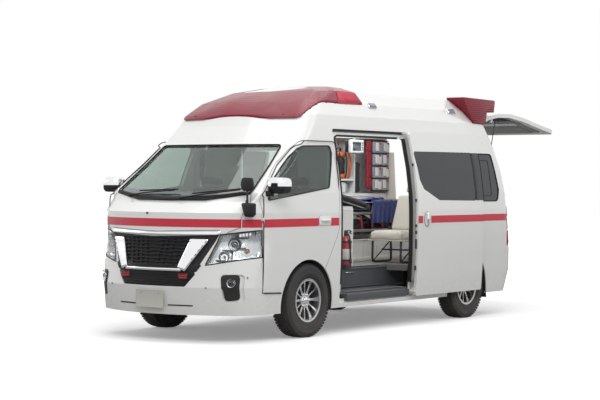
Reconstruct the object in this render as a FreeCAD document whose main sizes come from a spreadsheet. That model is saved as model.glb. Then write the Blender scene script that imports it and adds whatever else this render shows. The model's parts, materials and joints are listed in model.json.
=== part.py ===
"""High-roof van ambulance with an open sliding door and an open tailgate.

Frame: millimetres, +X to the vehicle's left, +Y to its tail, +Z up, origin on the ground
under the middle of the vehicle as it stands.
"""
import FreeCAD, Part
import math
import os
import re

doc = FreeCAD.newDocument("ambulance")
V = FreeCAD.Vector

# ---------------------------------------------------------------- driving sizes
# Columns: alias, value in mm (degrees for turns), what it sets.
SIZES = (
    ("wheelbase", 2940, "front axle to rear axle"),
    ("front_axle_y", -2000, "place of the front axle"),
    ("front_overhang", 1190, "front axle to bumper"),
    ("rear_overhang", 1015, "rear axle to tail"),
    ("body_width", 1880, "over the side panels"),
    ("wall", 45, "thickness of doors and side walls"),
    ("roof_wall", 40, "thickness of the roof"),
    ("glass", 5, "thickness of the window glass"),
    ("glass_inset", 4, "glass behind the outer skin"),
    ("panel_gap", 7, "gap round a moving door"),
    ("pillar", 40, "windscreen to front door, across the pillar"),
    ("hinge_pin", 4, "radius of a door hinge pin"),
    ("hinge_tall", 60, "height of a door hinge pin"),
    ("sill_z", 250, "lowest edge of the body"),
    ("bumper_z", 500, "most forward line of the bumper"),
    ("wing_z", 720, "wing line"),
    ("lamp_z", 900, "headlight line"),
    ("bonnet_z", 1170, "front edge of the bonnet"),
    ("belt_z", 1270, "foot of the windscreen, middle"),
    ("screen_foot_z", 1350, "foot of the windscreen, sides"),
    ("screen_mid_z", 1600, "middle of the windscreen"),
    ("header_z", 1830, "top of the windscreen"),
    ("gutter_z", 1985, "seam of the high roof"),
    ("cant_z", 2100, "roof side, low"),
    ("shoulder_z", 2230, "roof side, high"),
    ("crown_z", 2350, "roof shoulder"),
    ("brow_z", 2400, "roof crown, sides"),
    ("roof_z", 2440, "roof crown, middle"),
    ("floor_z", 610, "load floor, top"),
    ("floor_thick", 60, "load floor"),
    ("step_z", 390, "side step, top"),
    ("cab_floor_z", 590, "cab floor, top"),
    ("track", 1660, "wheel centre to wheel centre"),
    ("tyre_diameter", 693, "over the tread"),
    ("tyre_width", 195, "over the side walls"),
    ("tyre_wall", 14, "rubber of side wall and tread"),
    ("rim_diameter", 405, "over the rim flange"),
    ("rim_wall", 8, "rim barrel"),
    ("bearing_gap", 0.5, "running clearance of a wheel on its spindle"),
    ("spindle", 34, "radius of a wheel spindle"),
    ("kingpin_x", 760, "steering axis from the middle"),
    ("arch_radius", 412, "wheel arches"),
    ("tailgate_open", 72, "turn of the open tailgate, degrees"),
    ("tailgate_hinge_z", 2195, "tailgate hinge"),
    ("slide_travel", 1270, "sliding door, back from closed"),
    ("slide_out", 76, "sliding door, out from closed"),
    ("slide_skin", 30, "outer leaf of the sliding door"),
    ("strut_radius", 11, "gas strut cylinder"),
    ("strut_rod", 5, "gas strut rod"),
    ("strut_bore_gap", 0.4, "rod in its cylinder"),
    ("strut_cylinder", 450, "length of a gas strut cylinder"),
    ("frame_x", 430, "frame rail from the middle"),
    ("frame_rail", 70, "width of a frame rail"),
    ("frame_z", 450, "underside of the frame rails"),
    ("strut_x", 710, "gas strut from the middle"),
    ("seat_gap", 0.3, "loose piece from what carries it"),
    ("partition_y", 600, "partition behind the front axle"),
    ("rack_x", 550, "face of the equipment rack from the middle"),
    ("rack_front", 2420, "rack behind the front axle, front end"),
    ("rack_rear", 3600, "rack behind the front axle, rear end"),
    ("counter_z", 1330, "top of the rack's cupboard"),
    ("bench_z", 840, "top of the stretcher platform"),
    ("bench_left", 110, "left face of the stretcher platform"),
    ("bench_right", 470, "right face of the stretcher platform"),
    ("litter_front", 1620, "stretcher behind the front axle, head end"),
    ("litter_rear", 3550, "stretcher behind the front axle, foot end"),
    ("litter_tube", 16, "radius of the stretcher's tubes"),
    ("litter_z", 1120, "upper rails of the stretcher"),
    ("backrest_y", 2300, "stretcher behind the front axle, backrest's pivot"),
    ("seat_x", 510, "attendant's seat from the middle"),
    ("seat_y", 1930, "attendant's seat behind the front axle, front edge"),
    ("tank_z", 300, "underside of the fuel tank"),
    ("exhaust_z", 430, "height of the exhaust pipe"),
)

sheet = doc.addObject("Spreadsheet::Sheet", "Sizes")
for row, (alias, value, note) in enumerate(SIZES, start=1):
    sheet.set(f"A{row}", alias)
    sheet.set(f"B{row}", str(value))
    sheet.set(f"C{row}", note)
    sheet.setAlias(f"B{row}", alias)
doc.recompute()

size = {alias: float(sheet.get(alias)) for alias, value, note in SIZES}
ALIAS_WORD = re.compile(r"\b(" + "|".join(sorted(size, key=len, reverse=True)) + r")\b")

half = size["body_width"] / 2
front_axle = size["front_axle_y"]
rear_axle = front_axle + size["wheelbase"]
nose = front_axle - size["front_overhang"]
tail = rear_axle + size["rear_overhang"]
wheel_x = size["track"] / 2
hub_z = size["tyre_diameter"] / 2

# Shared places as expressions of the sheet.
REAR_AXLE = "(front_axle_y + wheelbase)"
TAIL = "(front_axle_y + wheelbase + rear_overhang)"
HUB_Z = "(tyre_diameter / 2)"
UNDERSIDE = "(floor_z - floor_thick)"
SIDES = (("left", 1), ("right", -1))
nodes = []


# ---------------------------------------------------------------- helpers
def cells(text):
    """Point each size word of an expression at its cell."""
    return ALIAS_WORD.sub(r"Sizes.\1", str(text))


def block(name, x_span, y_span, z_span):
    """Box between two places on each axis, each an expression."""
    obj = doc.addObject("Part::Box", name)
    spans = (("Length", "x", x_span), ("Width", "y", y_span), ("Height", "z", z_span))
    for prop, axis, (low, high) in spans:
        obj.setExpression(prop, cells(f"({high}) - ({low})"))
        obj.setExpression(f"Placement.Base.{axis}", cells(low))
    return obj


AXIS_TURN = {"x": (V(0, 1, 0), 90), "y": (V(1, 0, 0), -90), "z": (V(0, 0, 1), 0)}


def rod(name, radius, length, axis, start):
    """Round bar from a start point along +X, +Y or +Z."""
    obj = doc.addObject("Part::Cylinder", name)
    obj.setExpression("Radius", cells(radius))
    obj.setExpression("Height", cells(length))
    obj.Placement.Rotation = FreeCAD.Rotation(*AXIS_TURN[axis])
    for letter, place in zip("xyz", start):
        obj.setExpression(f"Placement.Base.{letter}", cells(place))
    return obj


def computed(name, shape):
    """Object whose shape this file works out from the sheet."""
    obj = doc.addObject("Part::Feature", name)
    obj.Shape = shape
    return obj


def joined(name, parts):
    """Fuse of touching pieces."""
    obj = doc.addObject("Part::MultiFuse", name)
    obj.Shapes = parts
    return obj


def grouped(name, parts):
    """Compound of like pieces that stand apart."""
    obj = doc.addObject("Part::Compound", name)
    obj.Links = parts
    return obj


def removed(name, base, tool):
    """Base with the tool cut away."""
    obj = doc.addObject("Part::Cut", name)
    obj.Base = base
    obj.Tool = tool
    return obj


def common(name, base, tool):
    """What two pieces share."""
    obj = doc.addObject("Part::Common", name)
    obj.Base = base
    obj.Tool = tool
    return obj


def keep(obj, label):
    """Mark an object as a sub-part of the vehicle."""
    obj.Label = label
    nodes.append(obj)
    return obj


def rounded_wire(points, plane):
    """Closed outline with filleted corners.

    Each point is (across, height, corner radius); plane "side" puts across on Y, "front" on X.
    """
    spots = [V(0, a, z) if plane == "side" else V(a, 0, z) for a, z, radius in points]
    count = len(points)
    starts = []
    ends = []
    for i, (a, z, radius) in enumerate(points):
        to_last = (spots[i - 1] - spots[i]).normalize()
        to_next = (spots[(i + 1) % count] - spots[i]).normalize()
        half_turn = to_last.getAngle(to_next) / 2
        reach = radius / math.tan(half_turn)
        starts.append(spots[i] + to_last * reach)
        ends.append(spots[i] + to_next * reach)
    edges = []
    for i, (a, z, radius) in enumerate(points):
        if radius > 0:
            bisector = (starts[i] + ends[i]) * 0.5 - spots[i]
            centre_reach = math.hypot((starts[i] - spots[i]).Length, radius)
            middle = spots[i] + bisector.normalize() * (centre_reach - radius)
            edges.append(Part.Arc(starts[i], middle, ends[i]).toShape())
        following = starts[(i + 1) % count]
        if ends[i].distanceToPoint(following) > 0.01:
            edges.append(Part.LineSegment(ends[i], following).toShape())
    return Part.Wire(Part.__sortEdges__(edges))


def prism(points, plane, low, high, grow=0.0):
    """Outline, grown by an amount, extruded along X (side) or Y (front) from low to high."""
    face = Part.Face(rounded_wire(points, plane))
    if grow:
        face = face.makeOffset2D(grow)
        face = Part.Face(face.Wires[0]) if not face.Faces else face.Faces[0]
    along = V(1, 0, 0) if plane == "side" else V(0, 1, 0)
    face.translate(along * low)
    return face.extrude(along * (high - low))


def slab(x_span, y_span, z_span):
    """Plain box shape for cutting."""
    lows = (x_span[0], y_span[0], z_span[0])
    return Part.makeBox(x_span[1] - x_span[0], y_span[1] - y_span[0], z_span[1] - z_span[0], V(*lows))


def mirrored(shape):
    """Shape on the other side of the vehicle."""
    return shape.mirror(V(0, 0, 0), V(1, 0, 0))


SLIVER = 20000  # mm3, below which a cut leaves no real piece


def from_front(points):
    """Side outline measured from the front axle, placed in the vehicle's frame."""
    return [(front_axle + y, z, radius) for y, z, radius in points]


def from_tail(points):
    """Side outline measured forward from the tail."""
    return [(tail - y, z, radius) for y, z, radius in points]


# ---------------------------------------------------------------- body skin
# Plan outlines from the sill up.  Columns: height cell, nose set back, bow radius of the nose,
# front corner radius, tuck-in of each side, tail set forward, tail corner radius.
LEVELS = (
    ("sill_z", 30, 1450, 380, 30, 95, 140),
    ("bumper_z", 0, 1450, 400, 12, 0, 150),
    ("wing_z", 32, 1450, 400, 2, 15, 150),
    ("lamp_z", 65, 1450, 400, 0, 45, 150),
    ("bonnet_z", 75, 1500, 380, 0, 85, 150),
    ("belt_z", 250, 2200, 250, 4, 95, 150),
    ("screen_foot_z", 360, 3300, 120, 8, 105, 150),
    ("screen_mid_z", 700, 3000, 190, 42, 150, 150),
    ("header_z", 990, 2800, 190, 90, 225, 150),
    ("gutter_z", 1150, 2600, 190, 122, 300, 150),
    ("cant_z", 1245, 2400, 190, 150, 350, 160),
    ("shoulder_z", 1440, 2000, 180, 225, 405, 170),
    ("crown_z", 1800, 1600, 200, 330, 475, 180),
    ("brow_z", 2080, 1600, 150, 500, 540, 150),
    ("roof_z", 2460, 1600, 90, 780, 800, 90),
)
ROOF_LEVELS = ("cant_z", "shoulder_z", "crown_z", "brow_z", "roof_z")


def plan_outline(level, inset):
    """One level of the skin, moved inwards by an inset."""
    name, set_back, bow, corner, tuck, set_forward, tail_corner = level
    height = size[name]
    if name in ROOF_LEVELS and inset > size["glass_inset"] + size["glass"]:
        height -= size["roof_wall"]
    front = nose + set_back + inset
    side = half - tuck - inset
    back = tail - set_forward - inset
    bow -= inset
    corner -= inset
    tail_corner -= inset
    corner_x = side - corner
    corner_y = front + bow - math.sqrt((bow - corner) ** 2 - corner_x**2)
    towards = V(corner_x, corner_y - front - bow, 0).normalize()
    on_bow = V(corner_x, corner_y, height) + towards * corner
    turn = (math.atan2(towards.y, towards.x)) / 2
    on_corner = V(corner_x + corner * math.cos(turn), corner_y + corner * math.sin(turn), height)
    diagonal = tail_corner * math.sqrt(0.5)
    flip = lambda point: V(-point.x, point.y, point.z)
    corner_end = V(side, corner_y, height)
    tail_start = V(side, back - tail_corner, height)
    tail_mid = V(side - tail_corner + diagonal, back - tail_corner + diagonal, height)
    tail_end = V(side - tail_corner, back, height)
    edges = (
        Part.Arc(flip(on_bow), V(0, front, height), on_bow),
        Part.Arc(on_bow, on_corner, corner_end),
        Part.LineSegment(corner_end, tail_start),
        Part.Arc(tail_start, tail_mid, tail_end),
        Part.LineSegment(tail_end, flip(tail_end)),
        Part.Arc(flip(tail_end), flip(tail_mid), flip(tail_start)),
        Part.LineSegment(flip(tail_start), flip(corner_end)),
        Part.Arc(flip(corner_end), flip(on_corner), flip(on_bow)),
    )
    return Part.Wire([edge.toShape() for edge in edges])


def skin(inset, levels=LEVELS):
    """Solid inside the skin moved inwards by an inset."""
    return Part.makeLoft([plan_outline(level, inset) for level in levels], True, True)


WIDE = half + 300
outer = skin(0)
below_cavity = slab((-WIDE, WIDE), (nose - 100, tail + 100), (0, size["sill_z"] + 0.5))
shell = outer.cut(skin(size["wall"])).cut(below_cavity)
glass_skin = skin(size["glass_inset"]).cut(skin(size["glass_inset"] + size["glass"]))

# ---------------------------------------------------------------- panel outlines
# Columns: place along the side or front, height, corner radius.
ROOF_SEAM = from_front([(-1300, 2600, 0), (-1300, size["header_z"] - 5, 0), (-215, size["header_z"] - 5, 0),
                        (450, size["gutter_z"] - 18, 0)])
ROOF_SEAM += [(tail + 100, size["gutter_z"] - 18, 0), (tail + 100, 2600, 0)]
FRONT_DOOR = from_front([(-712, 446, 10), (-712, 1330, 120), (-375, 1600, 300), (-158, 1755, 300),
                         (-10, 1838, 130), (474, 1838, 40), (474, 1000, 260), (250, 640, 0), (200, 446, 0)])
FRONT_WINDOW = from_front([(-657, 1284, 18), (-543, 1455, 60), (-223, 1690, 150), (-103, 1762, 60),
                           (-20, 1790, 50), (418, 1800, 35), (428, 1734, 60), (318, 1400, 40)])
SLIDE_DOOR = from_front([(510, 300, 20), (510, 1965, 30), (1846, 1965, 30), (1846, 300, 20)])
SLIDE_FRAME = from_front([(555, 330, 20), (555, 1900, 60), (1806, 1900, 60), (1806, 330, 20)])
SLIDE_WINDOW = from_front([(522, 1772, 30), (575, 1480, 60), (640, 1385, 60), (930, 1272, 120),
                           (1700, 1262, 40), (1700, 1778, 40)])
QUARTER_WINDOW = from_tail([(1990, 1778, 40), (1990, 1262, 40), (385, 1256, 60), (352, 1390, 120),
                            (425, 1770, 50)])
WINDSCREEN = [(-805, 1352, 40), (-400, 1288, 400), (400, 1288, 400), (805, 1352, 40), (712, 1800, 40),
              (-712, 1800, 40)]
BUMPER_TOP = [(-WIDE, 200, 0), (-WIDE, 776, 0), (-half, 776, 0), (-534, 700, 0), (-290, 652, 0),
              (290, 652, 0), (534, 700, 0), (half, 776, 0), (WIDE, 776, 0), (WIDE, 200, 0)]
GRILLE = [(-640, 988, 12), (-478, 690, 30), (-290, 652, 0), (290, 652, 0), (478, 690, 30), (640, 988, 12)]
LAMP_TOP = 1062
HEADLIGHT = [(534, 700, 0), (WIDE, 812, 0), (WIDE, LAMP_TOP, 0), (640, 975, 0)]
LOWER_GRILLE = [(-470, 640, 20), (-364, 505, 20), (364, 505, 20), (470, 640, 20)]
FOG_POD = [(680, 620, 20), (845, 620, 30), (845, 380, 30), (690, 380, 30)]
GATE_SILL = 640
GATE_TOP = size["tailgate_hinge_z"] - size["hinge_pin"] - 0.5
TAILGATE = [(-800, GATE_SILL, 40), (-790, 1230, 300), (-690, GATE_TOP, 60), (690, GATE_TOP, 60),
            (790, 1230, 300), (800, GATE_SILL, 40)]
TAIL_WINDOW = [(-680, 1260, 60), (-640, 1840, 60), (640, 1840, 60), (680, 1260, 60)]
TAIL_LAMP = [(818, 760, 10), (812, 1215, 10), (WIDE, 1215, 10), (WIDE, 760, 10)]

door_front = front_axle - 712
front_span = (nose - 100, front_axle)
rear_span = (tail - 700, tail + 200)
hinge_y = tail - 391
gate_span = (hinge_y - size["hinge_pin"], tail + 200)
left = (0, WIDE)
arch_z = 318


def arch(axle_y, grow=0.0):
    """Round void over a wheel, right across the vehicle's sides."""
    radius = size["arch_radius"] + grow
    voids = []
    for side, sign in SIDES:
        start = V(sign * (wheel_x - 220), axle_y, arch_z)
        voids.append(Part.makeCylinder(radius, 700, start, V(sign, 0, 0)))
    return voids


arches = arch(front_axle - 20) + arch(rear_axle)
gap = size["panel_gap"]

strut_foot = V(size["strut_x"], tail - 295, 1350)
strut_head = V(size["strut_x"], tail - 55, 2140)

# ---------------------------------------------------------------- fixed body panels
roof_region = prism(ROOF_SEAM, "side", -WIDE, WIDE)
roof_shell = shell.common(roof_region)
walls = shell.cut(roof_region).cut(arches)
tail_gap = prism(TAILGATE, "front", gate_span[0] - gap, gate_span[1], grow=gap)
hinge_z = size["tailgate_hinge_z"]
gate_pins = [Part.makeCylinder(size["hinge_pin"], 90, V(x - 45, hinge_y, hinge_z), V(1, 0, 0))
             for x in (-430, 430)]
roof_shell = roof_shell.cut(tail_gap).fuse(gate_pins)
keep(computed("roof_skin", roof_shell), "roof")

b_pillar = front_axle + 474 + gap
cab_zone = slab((-WIDE, WIDE), (nose - 100, b_pillar), (0, 2600))
cab_zone = cab_zone.cut(slab((-WIDE, WIDE), (front_axle - 100, b_pillar), (0, size["belt_z"])))
front_shell = walls.common(cab_zone)

screen_void = prism(WINDSCREEN, "front", nose - 100, front_axle + 100)
keep(computed("windscreen_glass", glass_skin.common(screen_void)), "windscreen")
front_shell = front_shell.cut(screen_void)

pillar_zone = prism(WINDSCREEN, "front", nose - 100, front_axle + 100, grow=size["pillar"])
door_block = prism(FRONT_DOOR, "side", 0, WIDE).cut(pillar_zone)
pillar_zone = prism(WINDSCREEN, "front", nose - 100, front_axle + 100, grow=size["pillar"] - gap)
door_voids = [prism(FRONT_DOOR, "side", 0, WIDE, grow=gap).cut(pillar_zone)]
door_voids.append(mirrored(door_voids[0]))
rear_shell = walls.cut(cab_zone).cut(door_voids)

front_zone = slab((-WIDE, WIDE), (nose - 100, door_front - gap), (0, 2600))
grille_void = prism(GRILLE, "front", nose - 100, front_axle - 700)
lamp_void = prism(HEADLIGHT, "front", nose - 100, door_front - gap)
lamp_voids = [lamp_void, mirrored(lamp_void)]
bumper_region = prism(BUMPER_TOP, "front", nose - 100, door_front - gap)
bumper_foot = slab((-WIDE, WIDE), (door_front - gap - 1, front_axle), (0, 446))
pod = prism(FOG_POD, "front", nose - 100, front_axle - 700)
face_voids = [prism(LOWER_GRILLE, "front", nose - 100, front_axle - 900), pod, mirrored(pod)]

# Each door turns on two pins at its front gap, on leaves that a post behind the skin carries.
door_hinge = V(half - 20, door_front - size["hinge_pin"] - 0.5, 0)
post_y = (door_front - gap - 70, door_front - gap)
post = slab((half - 175, half - 125), post_y, (size["floor_z"], LAMP_TOP + 8))
post_root = slab((half - 175, half), post_y, (LAMP_TOP + 8, 1200)).common(skin(15))
hinge_post = post.fuse(post_root)
hinge_rooms = []
for height in (680, 1100):
    pin = Part.makeCylinder(size["hinge_pin"], size["hinge_tall"], door_hinge + V(0, 0, height))
    top = height + size["hinge_tall"]
    leaf = slab((half - 130, door_hinge.x), (door_hinge.y - 14, door_hinge.y - 3), (height, top))
    hinge_post = hinge_post.fuse([pin, leaf])
    room_y = (door_hinge.y - 16, door_hinge.y + size["hinge_pin"] + 1)
    hinge_rooms.append(slab((half - size["wall"] - 26, half + 1), room_y, (height - 2, top + 2)))
hinge_rooms += [mirrored(room) for room in hinge_rooms]

bumper_shell = front_shell.common(bumper_region.fuse(bumper_foot)).cut(hinge_rooms)
bumper_shell = bumper_shell.common(slab((-WIDE, WIDE), (nose - 100, front_axle - 100), (0, 800)))
# Lower grille and fog lamp pods lie a little behind the bumper's face.
face_backs = shell.cut(outer.cut(skin(18))).common(face_voids[0].fuse(face_voids[1:]))
plate_holes = [Part.makeCylinder(3, 200, V(x, nose - 50, 440), V(0, 1, 0)) for x in (-105, 105)]
bumper_open = bumper_shell.cut(face_voids).cut(plate_holes)
keep(computed("front_bumper_shell", bumper_open.fuse(face_backs)), "front_bumper")

nose_shell = front_shell.cut(bumper_region).cut(bumper_foot).cut(door_voids)
keep(computed("grille_plate", nose_shell.common(grille_void)), "grille")
lamp_skins = nose_shell.cut([grille_void] + hinge_rooms).common(lamp_voids[0].fuse(lamp_voids[1]))
keep(computed("headlight_lenses", lamp_skins), "headlights")
nose_shell = nose_shell.cut([grille_void] + lamp_voids)
# The nose ends under the windscreen; pillars, header and the strips over the doors frame the cab.
bonnet_zone = slab((-WIDE, WIDE), (nose - 100, door_front + 140), (0, size["belt_z"] + 30))
bonnet = nose_shell.common(bonnet_zone)
bonnet = Part.makeCompound([piece for piece in bonnet.Solids if piece.Volume > SLIVER])
keep(computed("bonnet_shell", bonnet.fuse([hinge_post, mirrored(hinge_post)])), "bonnet")
screen_frame = nose_shell.cut(bonnet_zone)
screen_frame = Part.makeCompound([piece for piece in screen_frame.Solids if piece.Volume > SLIVER])
keep(computed("screen_frame_shell", screen_frame), "screen_frame")

# Rear half: two side panels, tail lamps and the bumper under the tailgate.
slide_void = prism(SLIDE_DOOR, "side", 0, WIDE, grow=gap)
frame_void = prism(SLIDE_FRAME, "side", 0, WIDE)
slide_recess = outer.cut(skin(size["slide_skin"])).common(slide_void)
quarter_void = prism(QUARTER_WINDOW, "side", 0, WIDE)
side_window_void = prism(SLIDE_WINDOW, "side", 0, WIDE)
lamp_region = prism(TAIL_LAMP, "front", tail - 180, tail + 200)
tail_lamp_regions = [lamp_region, mirrored(lamp_region)]
rear_shell = rear_shell.cut(tail_gap)
rear_bumper_region = slab((-WIDE, WIDE), (tail - 420, tail + 100), (0, GATE_SILL - gap))
rear_bumper = rear_shell.common(rear_bumper_region)
keep(computed("rear_bumper_shell", rear_bumper), "rear_bumper")
rear_shell = rear_shell.cut(rear_bumper_region)
tail_lamps = rear_shell.common(tail_lamp_regions[0].fuse(tail_lamp_regions[1]))
keep(computed("tail_lamp_lenses", tail_lamps), "tail_lamps")
rear_shell = rear_shell.cut(tail_lamp_regions)
pillar = slab((778, half - size["wall"] - 12), (tail - 500, tail - 290), (size["floor_z"], 1960))
left_shell = rear_shell.common(slab(left, (nose, tail + 100), (0, 2600)))
left_shell = left_shell.cut(slide_recess).cut(frame_void).cut(quarter_void)
right_shell = rear_shell.cut(slab(left, (nose, tail + 100), (0, 2600)))
right_shell = right_shell.cut([mirrored(quarter_void), mirrored(side_window_void)])
pillar_inside = pillar.common(skin(size["wall"]))
stud = Part.makeCylinder(8, 785 - strut_foot.x - 6.5, strut_foot + V(6.5, 0, 0), V(1, 0, 0))
shell_left = left_shell.fuse([pillar_inside, stud])
keep(computed("side_shell_left", shell_left), "side_panel_left")
shell_right = right_shell.fuse([mirrored(pillar_inside), mirrored(stud)])
keep(computed("side_shell_right", shell_right), "side_panel_right")
panes = [glass_skin.common(quarter_void), glass_skin.common(mirrored(quarter_void)),
         glass_skin.common(mirrored(side_window_void))]
keep(computed("side_window_panes", Part.makeCompound(panes)), "side_windows")

# ---------------------------------------------------------------- front doors
for side, sign in SIDES:
    place = (lambda shape: shape) if sign > 0 else mirrored
    door = walls.common(place(door_block))
    window = place(prism(FRONT_WINDOW, "side", 0, WIDE))
    keep(computed(f"front_door_shell_{side}", door.cut(window)), f"front_door_{side}")
    keep(computed(f"front_door_pane_{side}", glass_skin.common(window)), f"front_door_glass_{side}")
    foot = slab((half - 60, half + 40), (front_axle - 690, front_axle - 620), (1320, 1372))
    head = slab((half + 12, half + 160), (front_axle - 690, front_axle - 560), (1350, 1490))
    mirror = foot.fuse(head).cut(outer)
    keep(computed(f"mirror_body_{side}", place(mirror)), f"door_mirror_{side}")

# ---------------------------------------------------------------- sliding door, standing open
slide_leaf = outer.cut(skin(size["slide_skin"])).common(prism(SLIDE_DOOR, "side", 0, WIDE))
slide_inner = skin(size["slide_skin"]).cut(skin(size["wall"] + 20))
slide_inner = slide_inner.common(prism(SLIDE_FRAME, "side", 0, WIDE, grow=-12))
slide_move = V(size["slide_out"], size["slide_travel"], 0)
slide_shell = slide_leaf.fuse(slide_inner).cut(side_window_void)
slide_shell.translate(slide_move)
slide_pane = glass_skin.common(side_window_void)
slide_pane.translate(slide_move)
slide_front = front_axle + 510 + size["slide_travel"]
# Roller arms hold the open door to its low and high rails; its inner leaf rides the middle rail.
arm_y = (slide_front - 10, slide_front + 18)
rail_low = (half - 150, half - 120)
rail_high = (half - 148, half - 126)
arms = [slab((half + 20, half + 44), (arm_y[0], slide_front + 72), (342, 368)),
        slab((rail_low[1], half + 44), arm_y, (342, 368)),
        slab((rail_high[1], half - 58), arm_y, (1948, 1962))]
keep(computed("sliding_door_shell", slide_shell.fuse(arms)), "sliding_door")
doorway_y = (front_axle + 520, front_axle + 1800)
door_rails = [slab(rail_low, doorway_y, (340, 370)),
              slab(rail_high, doorway_y, (1945, 1966)),
              slab((half, half + size["slide_out"] - size["wall"] - 20),
                   (front_axle + 1900, front_axle + 3060), (1090, 1122))]
door_rails = [rail.cut(shell_left) for rail in door_rails]
keep(computed("door_rail_set", Part.makeCompound(door_rails)), "door_rails")
keep(computed("sliding_door_pane", slide_pane), "sliding_door_glass")

# ---------------------------------------------------------------- tailgate, standing open
tail_hinge = V(0, hinge_y, size["tailgate_hinge_z"])
tailgate = shell.common(prism(TAILGATE, "front", *gate_span))
tail_window = prism(TAIL_WINDOW, "front", *rear_span)
open_gate = tailgate.cut(tail_window)
gate_pane = glass_skin.common(tail_window)


def opened(shape):
    """Shape of the closed tailgate, turned to where it stands open."""
    return shape.rotate(tail_hinge, V(1, 0, 0), size["tailgate_open"])


gate_studs = []
for side, sign in SIDES:
    bracket = slab((strut_head.x - 64, strut_head.x - 38), (strut_head.y - 16, strut_head.y + 16),
                   (strut_head.z - 9, strut_head.z + 56))
    bracket = bracket.fuse(Part.makeCylinder(7, 40, strut_head - V(46.5, 0, 0), V(1, 0, 0)))
    gate_studs.append(bracket if sign > 0 else mirrored(bracket))
keep(computed("tailgate_shell", opened(open_gate).fuse(gate_studs)), "tailgate")
keep(computed("tailgate_pane", opened(gate_pane)), "tailgate_glass")

# Gas struts: the cylinder swings on the pillar, the rod's eye meets the tailgate's stud.
strut_line = strut_head - strut_foot
strut_turn = math.degrees(math.atan2(strut_line.y, strut_line.z))


def along_strut(shape, sign):
    """Piece drawn upwards from the origin, laid from the strut's foot towards its head."""
    shape.rotate(V(0, 0, 0), V(1, 0, 0), -strut_turn)
    shape.translate(strut_foot)
    return shape if sign > 0 else mirrored(shape)


bore = size["strut_rod"] + size["strut_bore_gap"]
for side, sign in SIDES:
    tube = Part.makeCylinder(size["strut_radius"], size["strut_cylinder"] - 16, V(0, 0, 16))
    tube = tube.cut(Part.makeCylinder(bore, size["strut_cylinder"], V(0, 0, 30)))
    low_eye = Part.makeCylinder(11, 12, V(-6, 0, 0), V(1, 0, 0)).fuse(
        Part.makeCylinder(6, 12, V(0, 0, 8)))
    keep(computed(f"strut_tube_{side}", along_strut(tube.fuse(low_eye), sign)), f"strut_cylinder_{side}")
    reach = strut_line.Length
    shaft = Part.makeCylinder(size["strut_rod"], reach - size["strut_cylinder"] + 36,
                              V(0, 0, size["strut_cylinder"] - 40))
    top_eye = Part.makeCylinder(10, 12, V(-6, 0, reach), V(1, 0, 0))
    keep(computed(f"strut_shaft_{side}", along_strut(shaft.fuse(top_eye), sign)), f"strut_rod_{side}")

# ---------------------------------------------------------------- roof lamps
front_beacon_zone = slab((-720, 720), (front_axle + 40, front_axle + 1200), (2060, 2420))
beacon_solid = skin(-18).common(front_beacon_zone).cut(outer)
beacon_solid = beacon_solid.common(prism(from_front([(20, 2060, 0), (20, 2460, 0), (1180, 2460, 0),
                                                     (1180, 2210, 0), (250, 2130, 0), (100, 2060, 0)]),
                                         "side", -WIDE, WIDE))
rear_lens = prism(from_tail([(935, 2385, 10), (690, 2110, 10), (430, 2100, 10), (395, 2235, 10),
                             (240, 2240, 10), (215, 2375, 20)]), "side", 590, half - 140)
rear_lens = rear_lens.cut(outer)
beacons = Part.makeCompound([beacon_solid, rear_lens, mirrored(rear_lens)])
keep(computed("beacon_lenses", beacons), "roof_beacons")

# ---------------------------------------------------------------- chassis and running gear
rails = []
for side, sign in SIDES:
    rails.append(block(f"rail_{side}", (f"{sign} * frame_x - frame_rail / 2", f"{sign} * frame_x + frame_rail / 2"),
                       ("front_axle_y - 950", f"{TAIL} - 120"), ("frame_z", UNDERSIDE)))
for number, station in enumerate(("front_axle_y - 900", "front_axle_y + 1400", f"{REAR_AXLE} - 700",
                                  f"{TAIL} - 200")):
    rails.append(block(f"cross_{number}", ("-frame_x", "frame_x"), (station, f"{station} + 80"),
                       ("frame_z + 10", f"{UNDERSIDE} - 20")))
for side, sign in SIDES:
    inner_x = f"{sign} * 280"
    rail_x = f"{sign} * frame_x"
    span = (inner_x, rail_x) if sign > 0 else (rail_x, inner_x)
    rails.append(block(f"engine_mount_{side}", span, ("front_axle_y + 120", "front_axle_y + 200"),
                       ("frame_z + 10", "frame_z + 50")))
    for end, station in (("front", "front_axle_y + 600"), ("rear", f"{REAR_AXLE} - 840")):
        rails.append(block(f"jack_pad_{end}_{side}", (f"{rail_x} - 50", f"{rail_x} + 50"),
                           (f"{station} - 60", f"{station} + 60"), ("frame_z - 20", "frame_z")))
keep(joined("ladder", rails), "chassis_frame")

floor_parts = [block("load_floor", ("-(body_width / 2 - wall - 32)", "body_width / 2 - wall - 32"),
                     ("front_axle_y + 560", f"{TAIL} - 160"), (UNDERSIDE, "floor_z"))]
floor_parts.append(block("cab_floor", ("-(body_width / 2 - wall - 42)", "body_width / 2 - wall - 42"),
                         ("front_axle_y - 860", "front_axle_y - 440"), (UNDERSIDE, "cab_floor_z")))
floor_parts.append(block("cab_deck", ("-(body_width / 2 - wall - 42)", "body_width / 2 - wall - 42"),
                         ("front_axle_y - 480", "front_axle_y + 600"), ("floor_z + 110", "floor_z + 140")))
floor_parts.append(block("cab_riser", ("-(body_width / 2 - wall - 42)", "body_width / 2 - wall - 42"),
                         ("front_axle_y - 480", "front_axle_y - 440"), (UNDERSIDE, "floor_z + 140")))
floor_parts.append(block("deck_riser", ("-(body_width / 2 - wall - 42)", "body_width / 2 - wall - 42"),
                         ("front_axle_y + 560", "front_axle_y + 600"), (UNDERSIDE, "floor_z + 140")))
floor_body = joined("floor_plates", floor_parts)
step_y = ("front_axle_y + 565", "front_axle_y + 1800")
wheel_pockets = [block("step_well", ("body_width / 2 - 330", "body_width / 2"), step_y,
                       ("0", "floor_z + 1"))]
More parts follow.
